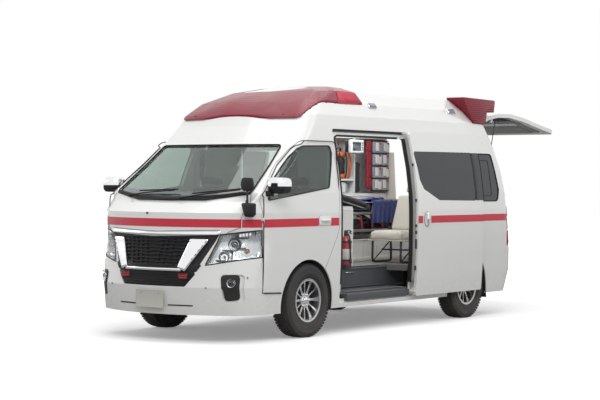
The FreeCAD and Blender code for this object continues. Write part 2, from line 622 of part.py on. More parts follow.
for side, sign in SIDES:
    inner_x = f"{sign} * (track / 2 - 160)"
    outer_x = f"{sign} * (body_width / 2 + 10)"
    span = (inner_x, outer_x) if sign > 0 else (outer_x, inner_x)
    wheel_pockets.append(block(f"rear_pocket_{side}", span, (f"{REAR_AXLE} - 440", f"{REAR_AXLE} + 440"),
                               ("0", "floor_z + 1")))
floor_cut = removed("floor_open", floor_body, grouped("floor_pockets", wheel_pockets))
step_lining = [block("side_step", ("body_width / 2 - 350", "body_width / 2 - wall - 32"), step_y,
                ("step_z - 20", "step_z")),
               block("step_riser", ("body_width / 2 - 350", "body_width / 2 - 330"), step_y,
                ("step_z - 20", "floor_z"))]
inside = computed("body_inside", skin(size["wall"] + size["seat_gap"]))
keep(common("floor_trimmed", joined("floor_lined", [floor_cut] + step_lining), inside), "floor")
lining = []
for side, sign in SIDES:
    inner_x = f"{sign} * (track / 2 - 160)"
    wall_x = f"{sign} * (body_width / 2 - wall - 32)"
    lip_x = f"{sign} * (track / 2 - 160)"
    top = (lip_x, wall_x) if sign > 0 else (wall_x, lip_x)
    cheek_x = f"{sign} * (track / 2 - 145)"
    cheek = (lip_x, cheek_x) if sign > 0 else (cheek_x, lip_x)
    lining.append(block(f"housing_top_{side}", top, (f"{REAR_AXLE} - 440", f"{REAR_AXLE} + 440"),
                        ("floor_z + 125", "floor_z + 140")))
    lining.append(block(f"housing_cheek_{side}", cheek, (f"{REAR_AXLE} - 440", f"{REAR_AXLE} + 440"),
                        (UNDERSIDE, "floor_z + 125")))
    for end, place in (("front", f"{REAR_AXLE} - 440"), ("rear", f"{REAR_AXLE} + 425")):
        lining.append(block(f"housing_{end}_{side}", top, (place, f"{place} + 15"),
                            (UNDERSIDE, "floor_z + 125")))
keep(common("housings_trimmed", joined("housing_sets", lining), inside), "wheel_housings")

keep(block("engine_mass", ("-280", "280"), ("front_axle_y - 230", "front_axle_y + 500"), ("330", "floor_z + 100")),
     "engine")

axle_parts = [rod("axle_tube", "40", "track - 2 * 130", "x", ("-(track / 2 - 130)", REAR_AXLE, HUB_Z)),
              rod("axle_case", "140", "200", "x", ("-100", REAR_AXLE, HUB_Z)),
              rod("axle_shaft", "spindle", "track + 20", "x", ("-(track / 2 + 10)", REAR_AXLE, HUB_Z))]
for side, sign in SIDES:
    axle_parts.append(block(f"spring_{side}", (f"{sign} * 540 - 35", f"{sign} * 540 + 35"),
                            (f"{REAR_AXLE} - 600", f"{REAR_AXLE} + 640"), (f"{HUB_Z} + 38", f"{HUB_Z} + 68")))
    for end, place in (("front", f"{REAR_AXLE} - 600"), ("rear", f"{REAR_AXLE} + 600")):
        axle_parts.append(block(f"hanger_{end}_{side}", (f"{sign} * 540 - 30", f"{sign} * 540 + 30"),
                                (place, f"{place} + 40"), (f"{HUB_Z} + 60", UNDERSIDE)))
keep(joined("rear_axle_beam", axle_parts), "rear_axle")

arms = [block("cross_member", ("-520", "520"), ("front_axle_y - 60", "front_axle_y + 60"), ("250", "325"))]
for side, sign in SIDES:
    inner, outer_end = (f"{sign} * 500", f"{sign} * (kingpin_x + 30)")
    span = (inner, outer_end) if sign > 0 else (outer_end, inner)
    arms.append(block(f"lower_arm_{side}", span, ("front_axle_y - 28", "front_axle_y + 28"),
                      (f"{HUB_Z} - 100", f"{HUB_Z} - 80")))
    arms.append(block(f"tower_{side}", (f"{sign} * frame_x - 30", f"{sign} * frame_x + 30"),
                      ("front_axle_y - 50", "front_axle_y + 50"), ("320", "frame_z")))
keep(joined("front_arms", arms), "front_suspension")

for side, sign in SIDES:
    post = rod(f"king_post_{side}", "26", "150", "z", (f"{sign} * kingpin_x", "front_axle_y",
                                                      f"{HUB_Z} - 79.5"))
    inner, outer_end = (f"{sign} * (kingpin_x - 20)", f"{sign} * (track / 2 + 10)")
    start = inner if sign > 0 else outer_end
    stub = rod(f"stub_{side}", "spindle", "track / 2 + 10 - kingpin_x + 20", "x", (start, "front_axle_y", HUB_Z))
    keep(joined(f"knuckle_body_{side}", [post, stub]), f"knuckle_{side}")


# ---------------------------------------------------------------- wheels
def ring(profile, centre, sign):
    """Turn an outline about a wheel's axis.

    Each profile point is (along the axis, outwards positive; radius).
    """
    spots = [V(along * sign, 0, radius) for along, radius in profile]
    face = Part.Face(Part.makePolygon(spots + spots[:1]))
    solid = face.revolve(V(0, 0, 0), V(1, 0, 0), 360)
    solid.translate(centre)
    return solid


tyre_r = size["tyre_diameter"] / 2
rim_r = size["rim_diameter"] / 2
seat_r = rim_r - 12
tyre_w = size["tyre_width"] / 2
tyre_t = size["tyre_wall"]
rim_w = tyre_w - 14
rim_t = size["rim_wall"]
bore_r = size["spindle"] + size["bearing_gap"]
TYRE = ((-rim_w + 9, seat_r), (-rim_w + 9, rim_r), (-tyre_w, rim_r + 45), (-tyre_w, tyre_r - 40), (-tyre_w + 22, tyre_r - 6),
        (-tyre_w + 45, tyre_r), (tyre_w - 45, tyre_r), (tyre_w - 22, tyre_r - 6), (tyre_w, tyre_r - 40),
        (tyre_w, rim_r + 45), (rim_w - 9, rim_r), (rim_w - 9, seat_r), (rim_w - 9 - tyre_t, seat_r), (tyre_w - tyre_t, rim_r + 45),
        (tyre_w - tyre_t, tyre_r - 46), (tyre_w - 48, tyre_r - tyre_t), (-tyre_w + 48, tyre_r - tyre_t),
        (-tyre_w + tyre_t, tyre_r - 46), (-tyre_w + tyre_t, rim_r + 45), (-rim_w + 9 + tyre_t, seat_r))
RIM = ((-rim_w, rim_r), (-rim_w + 9, rim_r), (-rim_w + 9, seat_r), (rim_w - 9, seat_r), (rim_w - 9, rim_r),
       (rim_w, rim_r), (rim_w, seat_r - rim_t), (-rim_w, seat_r - rim_t))
HUB = ((-30, 70), (48, 70), (48, bore_r), (-30, bore_r))
SPOKES = 12

for axle_name, axle_y in (("front", front_axle), ("rear", rear_axle)):
    for side, sign in SIDES:
        centre = V(sign * wheel_x, axle_y, hub_z)
        keep(computed(f"tyre_ring_{axle_name}_{side}", ring(TYRE, centre, sign)), f"tyre_{axle_name}_{side}")
        rim = ring(RIM, centre, sign).fuse(ring(HUB, centre, sign))
        for number in range(SPOKES):
            arm = Part.makeBox(16, 14, seat_r - 60, V(20, -7, 62))
            if sign < 0:
                arm = mirrored(arm)
            arm.rotate(V(0, 0, 0), V(1, 0, 0), number * 360 / SPOKES)
            arm.translate(centre)
            rim = rim.fuse(arm)
        keep(computed(f"rim_ring_{axle_name}_{side}", rim), f"wheel_{axle_name}_{side}")

# ---------------------------------------------------------------- cab and treatment room
cabin = skin(size["wall"] + 1)
dash = slab((-half + 180, half - 180), (front_axle - 860, front_axle - 510), (930, 1235))
bulkhead = slab((-half + 60, half - 60), (front_axle - 880, front_axle - 860),
                (size["floor_z"] - size["floor_thick"], 1235))
wheel_place = FreeCAD.Placement(V(-450, front_axle - 330, 1130), FreeCAD.Rotation(V(1, 0, 0), -38))
helm = Part.makeTorus(185, 15).fuse(Part.makeCylinder(45, 60, V(0, 0, -50)))
helm = helm.fuse(Part.makeBox(370, 30, 12, V(-185, -15, -20)))
column = Part.makeCylinder(30, 250, V(0, 0, -300.5))
helm.Placement = wheel_place
column.Placement = wheel_place
keep(computed("helm", helm), "steering_wheel")
keep(computed("dash_shape", dash.fuse([bulkhead, column]).common(cabin)), "dashboard")
seats = []
for side, sign in SIDES:
    seats.append(block(f"seat_cushion_{side}", (f"{sign} * 530 - 240", f"{sign} * 530 + 240"),
                       ("front_axle_y - 120", "front_axle_y + 380"), ("floor_z + 140", "floor_z + 330")))
    seats.append(block(f"seat_back_{side}", (f"{sign} * 530 - 230", f"{sign} * 530 + 230"),
                       ("front_axle_y + 300", "front_axle_y + 420"), ("floor_z + 330", "floor_z + 900")))
keep(joined("cab_seat_pair", seats), "cab_seats")

# Partition behind the cab, with a pass window; its left foot stands on the side step.
lined = skin(size["wall"] + 24)
part_y = (front_axle + size["partition_y"], front_axle + size["partition_y"] + 22)
partition = slab((-half, half), part_y, (size["floor_z"], size["roof_z"]))
partition = partition.fuse(slab((half - 330, half), part_y, (size["step_z"], size["floor_z"])))
partition = partition.common(lined).cut(slab((-350, 350), part_y, (1320, 1760)))
keep(computed("partition_sheet", partition), "partition")

BACK = "front_axle_y + partition_y + 22"
cupboard = block("cupboard_body", ("-150", "body_width / 2 - 340"), (BACK, "front_axle_y + 1200"),
                 ("floor_z", "floor_z + 600"))

bottle = [rod("bottle", "55", "330", "z", ("body_width / 2 - 140", "front_axle_y + 790", "600")),
          rod("bottle_neck", "18", "60", "z", ("body_width / 2 - 140", "front_axle_y + 790", "925"))]
for name, low in (("low", "690"), ("high", "860")):
    bottle.append(block(f"bottle_bracket_{name}", ("body_width / 2 - 165", "body_width / 2 - 115"),
                        (BACK, "front_axle_y + 750"), (low, f"{low} + 20")))
extinguisher = joined("bottle_set", bottle)

# Equipment rack along the right wall: a cupboard over the wheel housing, shelves above it.
RACK_Y = ("front_axle_y + rack_front", "front_axle_y + rack_rear")
WALL = "-(body_width / 2)"
rack = [block("rack_cupboard", (WALL, "-rack_x"), RACK_Y, ("floor_z", "counter_z")),
        block("rack_back", (WALL, "-(body_width / 2 - 165)"), RACK_Y, ("counter_z", "1970")),
        block("rack_top", (WALL, "-rack_x"), RACK_Y, ("1950", "1970")),
        block("rack_shelf", (WALL, "-rack_x"), (RACK_Y[0], "front_axle_y + 2950"), ("1470", "1490"))]
for number, place in enumerate(("rack_front", "2930", "rack_rear - 20")):
    rack.append(block(f"rack_upright_{number}", (WALL, "-rack_x"),
                      (f"front_axle_y + {place}", f"front_axle_y + {place} + 20"), ("counter_z", "1970")))
rack_solid = common("rack_in_body", joined("rack_pieces", rack), inside)
housing_room = block("housing_room", (WALL, "-(track / 2 - 160 - seat_gap)"),
                     (f"{REAR_AXLE} - 440 - seat_gap", f"{REAR_AXLE} + 440 + seat_gap"),
                     ("0", "floor_z + 140 + seat_gap"))
pillar_room = block("pillar_room", (WALL, "-(778 - seat_gap)"), (f"{TAIL} - 500 - seat_gap", TAIL),
                    ("0", "roof_z"))
rack_rooms = grouped("rack_rooms", [housing_room, pillar_room])
rack_cut = removed("rack_over_housing", rack_solid, rack_rooms)
keep(grouped("cupboard_and_rack", [cupboard, rack_cut]), "cabinets")

FACE = "-(rack_x - seat_gap)"
monitor = joined("monitor_set", [
    block("monitor_case", ("-470", "-420"), ("front_axle_y + 2680", "front_axle_y + 2960"), ("1750", "1940")),
    block("monitor_arm", (FACE, "-465"), ("front_axle_y + 2930", "front_axle_y + 2950"), ("1820", "1860"))])
keep(grouped("carried_equipment", [
    extinguisher,
    monitor,
    block("pouch_board", (FACE, "-(rack_x - 60)"), ("front_axle_y + rack_rear - 340", "front_axle_y + rack_rear"),
          ("1350", "1940")),
    block("splint_bag", (FACE, "-(rack_x - 50)"),
          ("front_axle_y + rack_rear - 470", "front_axle_y + rack_rear - 340 - seat_gap"), ("1360", "1940")),
    block("shoulder_bag", ("-760", "-rack_x"), ("front_axle_y + 2560", "front_axle_y + 2810"),
          ("1490 + seat_gap", "1800")),
    block("suction_unit", ("-(body_width / 2 - 170)", "-rack_x"), ("front_axle_y + 2460", "front_axle_y + 2880"),
          ("counter_z + seat_gap", "1455")),
]), "equipment")

# Stretcher on its platform.
BENCH_X = ("-bench_right", "bench_left")
bench = block("bench_box", BENCH_X, ("front_axle_y + 1300", "front_axle_y + 3620"), ("floor_z", "bench_z"))
tray = block("bench_tray", ("-bench_right + 25", "bench_left - 25"), ("front_axle_y + 1325", "front_axle_y + 3621"),
             ("floor_z + 25", "bench_z - 30"))
keep(removed("bench", bench, tray), "stretcher_platform")

TUBE_X = (("right", "(-bench_right + 30)"), ("left", "(bench_left - 30)"))
HEAD = "(front_axle_y + litter_front)"
FOOT = "(front_axle_y + litter_rear)"
litter = []
for side, x in TUBE_X:
    litter.append(rod(f"litter_rail_{side}", "litter_tube", f"{FOOT} - {HEAD}", "y", (x, HEAD, "litter_z")))
    litter.append(rod(f"litter_base_{side}", "litter_tube", f"{FOOT} - {HEAD} - 360", "y",
                      (x, f"{HEAD} + 180", "litter_z - 180")))
    for end, place in (("head", f"{HEAD} + 260"), ("foot", f"{FOOT} - 260")):
        litter.append(rod(f"litter_leg_{end}_{side}", "12", "litter_z - bench_z - 50", "z",
                          (x, place, "bench_z + 50")))
        castor = rod(f"litter_castor_{end}_{side}", "50 - seat_gap", "30", "x",
                     (f"{x} - 15", place, "bench_z + 50"))
        litter.append(castor)
for number, (place, height) in enumerate((
        (f"{HEAD} + 16", "litter_z"), (f"{HEAD} + 700", "litter_z"), (f"{HEAD} + 1300", "litter_z"),
        (f"{FOOT} - 16", "litter_z"), (f"{HEAD} + 196", "litter_z - 180"), (f"{FOOT} - 196", "litter_z - 180"))):
    litter.append(rod(f"litter_cross_{number}", "litter_tube - 2", "bench_left + bench_right - 60", "x",
                      ("-bench_right + 30", place, height)))
keep(joined("litter_frame", litter), "stretcher_frame")

PAD_X = ("-bench_right + 28", "bench_left - 28")
PAD_Z = "litter_z + litter_tube + seat_gap"
mattress = block("mattress_block", PAD_X, ("front_axle_y + backrest_y", f"{FOOT} - 30"), (PAD_Z, f"{PAD_Z} + 90"))
slope = size["litter_z"] + size["litter_tube"] + size["seat_gap"]
head_y = front_axle + size["litter_front"]
fold_y = front_axle + size["backrest_y"] - size["seat_gap"]
wedge = Part.Face(Part.makePolygon([V(0, fold_y, slope), V(0, fold_y, slope + 90), V(0, head_y, slope + 220),
                                    V(0, head_y, slope + 60), V(0, fold_y - 300, slope), V(0, fold_y, slope)]))
wedge.translate(V(28 - size["bench_right"], 0, 0))
backrest = computed("backrest_wedge", wedge.extrude(V(size["bench_left"] + size["bench_right"] - 56, 0, 0)))
keep(grouped("litter_pads", [mattress, backrest]), "stretcher_mattress")
COVER_Z = f"{PAD_Z} + 90 + seat_gap"
keep(joined("blanket_fold", [
    block("blanket_top", ("-bench_right + 50", "bench_left + 2"), ("front_axle_y + 2310", "front_axle_y + 2920"),
          (COVER_Z, "1335")),
    block("blanket_side", ("bench_left - 12", "bench_left + 8"), ("front_axle_y + 2310", "front_axle_y + 2920"),
          ("1050", "1335")),
]), "blanket")

# Attendant's seat, facing forwards.
SEAT_X = ("seat_x - 210", "seat_x + 210")
SEAT_Y = "(front_axle_y + seat_y)"
seat_parts = [block("attendant_cushion", SEAT_X, (SEAT_Y, f"{SEAT_Y} + 430"), ("845", "945"))]
lean = slab((size["seat_x"] - 205, size["seat_x"] + 205), (-45, 45), (0, 440))
rest = slab((size["seat_x"] - 120, size["seat_x"] + 120), (-30, 30), (430, 560))
back = lean.fuse(rest)
back.rotate(V(0, 0, 0), V(1, 0, 0), -22)
back.translate(V(0, front_axle + size["seat_y"] + 420, 920))
seat_parts.append(computed("attendant_back", back))
for end, place in (("front", f"{SEAT_Y} + 60"), ("rear", f"{SEAT_Y} + 370")):
    for side, x in (("left", "(seat_x + 170)"), ("right", "(seat_x - 170)")):
        seat_parts.append(rod(f"attendant_leg_{end}_{side}", "13", "845 - floor_z", "z", (x, place, "floor_z")))
for side, x in (("left", "(seat_x + 170)"), ("right", "(seat_x - 170)")):
    seat_parts.append(rod(f"attendant_runner_{side}", "11", "310", "y", (x, f"{SEAT_Y} + 60", "floor_z + 20")))
keep(joined("attendant_chair", seat_parts), "attendant_seat")

# ---------------------------------------------------------------- under the floor
keep(rod("drive_tube", "35", f"{REAR_AXLE} - 140 - front_axle_y - 500 - 2 * seat_gap", "y",
         ("0", "front_axle_y + 500 + seat_gap", HUB_Z)), "propeller_shaft")
pipe = [rod("tail_pipe", "25", f"{TAIL} - 150 - front_axle_y - 500 - seat_gap", "y",
            ("-250", "front_axle_y + 500 + seat_gap", "exhaust_z")),
        rod("silencer", "60", "600", "y", ("-250", "front_axle_y + 1550", "exhaust_z"))]
for name, place in (("front", "front_axle_y + 1440"), ("rear", f"{TAIL} - 160")):
    pipe.append(block(f"pipe_hanger_{name}", ("-258", "-242"), (f"{place} - 8", f"{place} + 8"),
                      ("exhaust_z", "frame_z + 10 - seat_gap")))
keep(joined("exhaust_pipe", pipe), "exhaust")
keep(block("tank_body", ("-(body_width / 2 - 140)", "-(frame_x + 50)"),
           ("front_axle_y + 800", f"{REAR_AXLE} - 1000"),
           ("tank_z", f"{UNDERSIDE} - seat_gap")), "fuel_tank")

# ---------------------------------------------------------------- small outside pieces
# A pair of mirrors on a stalk shows the driver what is beside and before the left front corner.
pad = skin(-8).cut(outer)
foot = pad.common(slab((790, 900), (front_axle - 900, front_axle - 800), (1120, 1200)))
arm = slab((848, 880), (front_axle - 882, front_axle - 810), (1160, 1190)).cut(outer)
stalk_foot = V(872, front_axle - 886, 1240)
stalk_head = V(858, front_axle - 872, 1385)
stalk = Part.makeCylinder(9, (stalk_head - stalk_foot).Length, stalk_foot, stalk_head - stalk_foot)
LOW_MIRROR = [(806, 1262, 18), (962, 1262, 18), (962, 1150, 25), (850, 1136, 30)]
HIGH_MIRROR = [(790, 1420, 30), (800, 1490, 35), (920, 1490, 35), (930, 1368, 35), (812, 1368, 35)]
low_head = prism(LOW_MIRROR, "front", front_axle - 908, front_axle - 870)
high_head = prism(HIGH_MIRROR, "front", front_axle - 892, front_axle - 850)
corner = foot.fuse([arm, stalk, low_head, high_head])
keep(computed("corner_mirror_set", corner), "corner_mirror")

# Wiper arms lie along the foot of the windscreen.
wiper_zone = skin(-16).cut(skin(-5))
blade_left = [(-700, 1362, 0), (60, 1330, 0), (60, 1344, 0), (-700, 1376, 0)]
blade_right = [(100, 1330, 0), (700, 1366, 0), (700, 1380, 0), (100, 1344, 0)]
blades = [wiper_zone.common(prism(outline, "front", nose, front_axle - 300))
          for outline in (blade_left, blade_right)]
posts = skin(-16).cut(outer)
feet = [posts.common(slab((x - 14, x + 14), (nose, front_axle - 400), (1250, 1365))) for x in (-560, 230)]
arms = [blade.fuse(post) for blade, post in zip(blades, feet)]
keep(computed("wiper_arms", Part.makeCompound(arms)), "wipers")

# ---------------------------------------------------------------- check and write
doc.recompute()
for obj in doc.Objects:
    if "Invalid" in obj.State or "Error" in obj.State:
        raise RuntimeError(f"{obj.Label} failed: {obj.State}")
os.makedirs("parts", exist_ok=True)
for obj in nodes:
    shape = obj.Shape
    if shape.isNull() or not shape.isValid():
        raise RuntimeError(f"{obj.Label} has no valid shape")
    print(f"{obj.Label:22s} solids {len(shape.Solids):3d}  litres {shape.Volume / 1e6:9.3f}")
    shape.exportStep(f"parts/{obj.Label}.step")
print(len(nodes), "nodes")
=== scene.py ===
"""Looks of a high-roof van ambulance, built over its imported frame.

Metres, +X to the vehicle's left, +Y to its tail, +Z up, origin on the ground under its middle.
"""
import json
import logging
import math
from contextlib import contextmanager
from dataclasses import dataclass
from enum import Enum
from typing import Callable, Iterator, Sequence

import bmesh
import bpy
from mathutils import Matrix, Vector

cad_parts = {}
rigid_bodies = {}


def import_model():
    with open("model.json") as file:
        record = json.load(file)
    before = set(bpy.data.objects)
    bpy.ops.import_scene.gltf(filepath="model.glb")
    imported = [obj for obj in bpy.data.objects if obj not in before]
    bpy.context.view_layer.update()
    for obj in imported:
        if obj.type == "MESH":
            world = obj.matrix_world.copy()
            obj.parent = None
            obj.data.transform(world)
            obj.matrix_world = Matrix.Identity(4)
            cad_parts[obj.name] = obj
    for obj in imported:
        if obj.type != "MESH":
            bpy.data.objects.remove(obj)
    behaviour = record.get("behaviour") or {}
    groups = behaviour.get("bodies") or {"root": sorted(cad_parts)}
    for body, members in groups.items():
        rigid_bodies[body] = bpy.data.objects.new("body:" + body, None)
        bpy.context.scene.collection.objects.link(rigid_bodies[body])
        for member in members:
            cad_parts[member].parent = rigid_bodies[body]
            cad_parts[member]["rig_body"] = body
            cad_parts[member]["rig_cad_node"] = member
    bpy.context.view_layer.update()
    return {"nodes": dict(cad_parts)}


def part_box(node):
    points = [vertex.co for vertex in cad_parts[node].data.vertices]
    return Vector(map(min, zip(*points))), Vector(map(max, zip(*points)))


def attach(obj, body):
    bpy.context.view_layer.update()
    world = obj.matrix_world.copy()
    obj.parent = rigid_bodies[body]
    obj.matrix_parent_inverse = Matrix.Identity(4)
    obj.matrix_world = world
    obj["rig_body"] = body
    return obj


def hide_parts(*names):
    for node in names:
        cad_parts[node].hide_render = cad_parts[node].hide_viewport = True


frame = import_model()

LOG = logging.getLogger("ambulance")
Point = tuple[float, float, float]
Colour = tuple[float, float, float]

FRONT_AXLE = -2.0
REAR_AXLE = 0.94
TAIL = 1.955
WHEEL_X = 0.83
HUB_Z = 0.3465
SIDES = {"left": 1, "right": -1}
ARCH_Z = 0.318
BESIDE, AHEAD, BEHIND = 1.6, -4.0, 3.0
MISSED_SIDE = 1.3
MISSED_FRONT = -3.6
SEAM_REACH = 0.012
SEAM_DEPTH = 0.007
MERGE = 0.0001
ROAD_DUST = (0.33, 0.30, 0.25, 1)
WHITE = (1, 1, 1, 1)
COAT_ROUGHNESS = 0.04
BUMP_STRENGTH = 0.6


# ---------------------------------------------------------------- node groups shared by finishes
class Wiring:
    """The nodes of one shader tree, added and joined up."""

    def __init__(self, tree: bpy.types.NodeTree) -> None:
        """Work on a tree.

        Args:
            tree: the node tree of a material, a world or a group.
        """
        self.nodes, self.links = tree.nodes, tree.links

    def feed(self, node: bpy.types.Node, values: dict[str | int, object]) -> None:
        """Set a node's inputs.

        Args:
            node: the node.
            values: for each input, its value or the socket that drives it.
        """
        for label, value in values.items():
            if isinstance(value, bpy.types.NodeSocket):
                self.links.new(value, node.inputs[label])
            else:
                node.inputs[label].default_value = value

    def add(self, kind: str, values: dict[str | int, object] | None = None, **settings: object) -> bpy.types.Node:
        """Add a node.

        Args:
            kind: its type, without the word ShaderNode.
            values: its inputs, as feed takes them.
            settings: its own properties by name.

        Returns:
            The new node.
        """
        node = self.nodes.new("ShaderNode" + kind)
        for label, value in settings.items():
            setattr(node, label, value)
        self.feed(node, values or {})
        return node

    def math(self, operation: str, first: object, second: object, **settings: object) -> bpy.types.NodeSocket:
        """The outcome of a calculation with two values or sockets."""
        return self.add("Math", {0: first, 1: second}, operation=operation, **settings).outputs[0]


class Effects:
    """Shader node groups that several finishes share, each built once."""

    groups: dict[str, bpy.types.NodeTree] = {}

    @classmethod
    def _new(cls, name: str, inputs: str, outputs: str) -> tuple[Wiring, Sequence[bpy.types.NodeSocket]]:
        """Start a node group.

        Args:
            name: name of the group.
            inputs: name:type of each input socket.
            outputs: name:type of each output socket.

        Returns:
            The group's wiring and the sockets that bring its inputs in.
        """
        tree = bpy.data.node_groups.new(name, "ShaderNodeTree")
        for way, sockets in (("INPUT", inputs), ("OUTPUT", outputs)):
            for socket in sockets.split():
                label, kind = socket.split(":")
                tree.interface.new_socket(label, in_out=way, socket_type="NodeSocket" + kind)
        start = tree.nodes.new("NodeGroupInput")
        tree.nodes.new("NodeGroupOutput").name = "out"
        cls.groups[name] = tree
        return Wiring(tree), start.outputs

    @classmethod
    def mottle(cls) -> bpy.types.NodeTree:
        """Colour that drifts a little over the surface, with the mask it drifts by."""
        if "mottle" not in cls.groups:
            wires, ends = cls._new("mottle", "Vector:Vector Colour:Color Shade:Color Scale:Float Amount:Float",
                                   "Colour:Color Mask:Float")
            noise = wires.add("TexNoise", {"Detail": 6, "Vector": ends["Vector"],
                                           "Scale": ends["Scale"]}).outputs["Fac"]
            mix = wires.add("Mix", {"Factor": wires.math("MULTIPLY", noise, ends["Amount"]), "A": ends["Colour"],
                                    "B": ends["Shade"]}, data_type="RGBA")
            wires.feed(wires.nodes["out"], {"Colour": mix.outputs["Result"], "Mask": noise})
        return cls.groups["mottle"]

    @classmethod
    def dust(cls) -> bpy.types.NodeTree:
        """Road dust, thick at the ground and gone higher up."""
        if "dust" not in cls.groups:
            wires, ends = cls._new("dust", "Vector:Vector Colour:Color Top:Float Amount:Float",
                                   "Colour:Color Mask:Float")
            height = wires.add("SeparateXYZ", {0: ends["Vector"]}).outputs["Z"]
            fade = wires.add("MapRange", {"From Min": 0.0, "To Min": 1.0, "To Max": 0.0, "Value": height,
                                          "From Max": ends["Top"]})
            noise = wires.add("TexNoise", {"Scale": 9.0, "Detail": 8, "Vector": ends["Vector"]})
            spread = wires.math("MULTIPLY", fade.outputs["Result"], noise.outputs["Fac"])
            amount = wires.math("MULTIPLY", spread, ends["Amount"])
            mix = wires.add("Mix", {"Factor": amount, "A": ends["Colour"], "B": ROAD_DUST}, data_type="RGBA")
            wires.feed(wires.nodes["out"], {"Colour": mix.outputs["Result"], "Mask": amount})
        return cls.groups["dust"]

    @classmethod
    def relief(cls, kind: "Relief") -> bpy.types.NodeTree:
        """Height of a fine surface pattern.

        Args:
            kind: which pattern.

        Returns:
            A group with Vector and Scale in, Height out.
        """
        if kind.value in cls.groups:
            return cls.groups[kind.value]
        wires, ends = cls._new(kind.value, "Vector:Vector Scale:Float", "Height:Float")
        place = {"Vector": ends["Vector"], "Scale": ends["Scale"]}
        if kind in (Relief.WEAVE, Relief.LENS):
            woven = kind is Relief.WEAVE
            waves = [wires.add("TexWave", {"Distortion": 0.6 if woven else 0.0, **place}, bands_direction=axis)
                     for axis in ("XY" if woven else "XZ")]
            height = wires.math("MAXIMUM" if woven else "ADD", *(wave.outputs["Fac"] for wave in waves))
        elif kind is Relief.LEATHER:
            height = wires.add("TexVoronoi", place, feature="DISTANCE_TO_EDGE").outputs["Distance"]
        else:
            height = wires.add("TexNoise", {"Detail": 3, **place}).outputs["Fac"]
        wires.feed(wires.nodes["out"], {"Height": height})
        return cls.groups[kind.value]


class Relief(Enum):
    """Fine surface patterns that a finish may carry."""

    GRAIN = "moulded grain"
    WEAVE = "cloth weave"
    LEATHER = "vinyl grain"
    LENS = "lamp optics"


@dataclass(frozen=True)
class Finish:
    """One finish: its colour, its gloss and the detail on its surface."""

    name: str
    colour: Colour
    roughness: float = 0.4
    metallic: float = 0.0
    coat: float = 0.0
    clear: float = 0.0
    shade: Colour | None = None
    mottle_scale: float = 3.0
    mottle: float = 0.5
    rough_spread: float = 0.06
    relief: Relief = Relief.GRAIN
    relief_scale: float = 400.0
    relief_depth: float = 0.0002
    dust_top: float = 0.6
    dust: float = 0.0
    sheen: float = 0.0
    shine: float = 0.5

    def material(self) -> bpy.types.Material:
        """Build the finish as a material, or return the one built before."""
        title = f"{self.name}_finish"
        if title in bpy.data.materials:
            return bpy.data.materials[title]
        material = bpy.data.materials.new(title)
        material.use_nodes = True
        wires = Wiring(material.node_tree)
        place = wires.add("TexCoord").outputs["Object"]
        shade = self.shade or tuple(part * 0.8 for part in self.colour)
        drift = wires.add("Group", {"Vector": place, "Colour": (*self.colour, 1), "Shade": (*shade, 1),
                                    "Scale": self.mottle_scale, "Amount": self.mottle}, node_tree=Effects.mottle())
        colour = drift.outputs["Colour"]
        gloss = wires.add("MapRange", {"To Min": max(0.0, self.roughness - self.rough_spread),
                                       "To Max": min(1.0, self.roughness + self.rough_spread),
                                       "Value": drift.outputs["Mask"]})
        roughness = gloss.outputs["Result"]
        if self.dust:
            dust = wires.add("Group", {"Vector": place, "Colour": colour, "Top": self.dust_top, "Amount": self.dust},
                             node_tree=Effects.dust())
            colour = dust.outputs["Colour"]
            roughness = wires.math("ADD", roughness, dust.outputs["Mask"], use_clamp=True)
        relief = wires.add("Group", {"Vector": place, "Scale": self.relief_scale},
                           node_tree=Effects.relief(self.relief))
        bump = wires.add("Bump", {"Distance": self.relief_depth, "Strength": BUMP_STRENGTH,
                                  "Height": relief.outputs["Height"]})
        wires.feed(wires.nodes["Principled BSDF"], {"Base Color": colour, "Roughness": roughness,
                                                    "Normal": bump.outputs["Normal"], "Metallic": self.metallic,
                                                    "Coat Weight": self.coat, "Coat Roughness": COAT_ROUGHNESS,
                                                    "Specular IOR Level": self.shine,
                                                    "Transmission Weight": self.clear, "Sheen Weight": self.sheen})
        return material


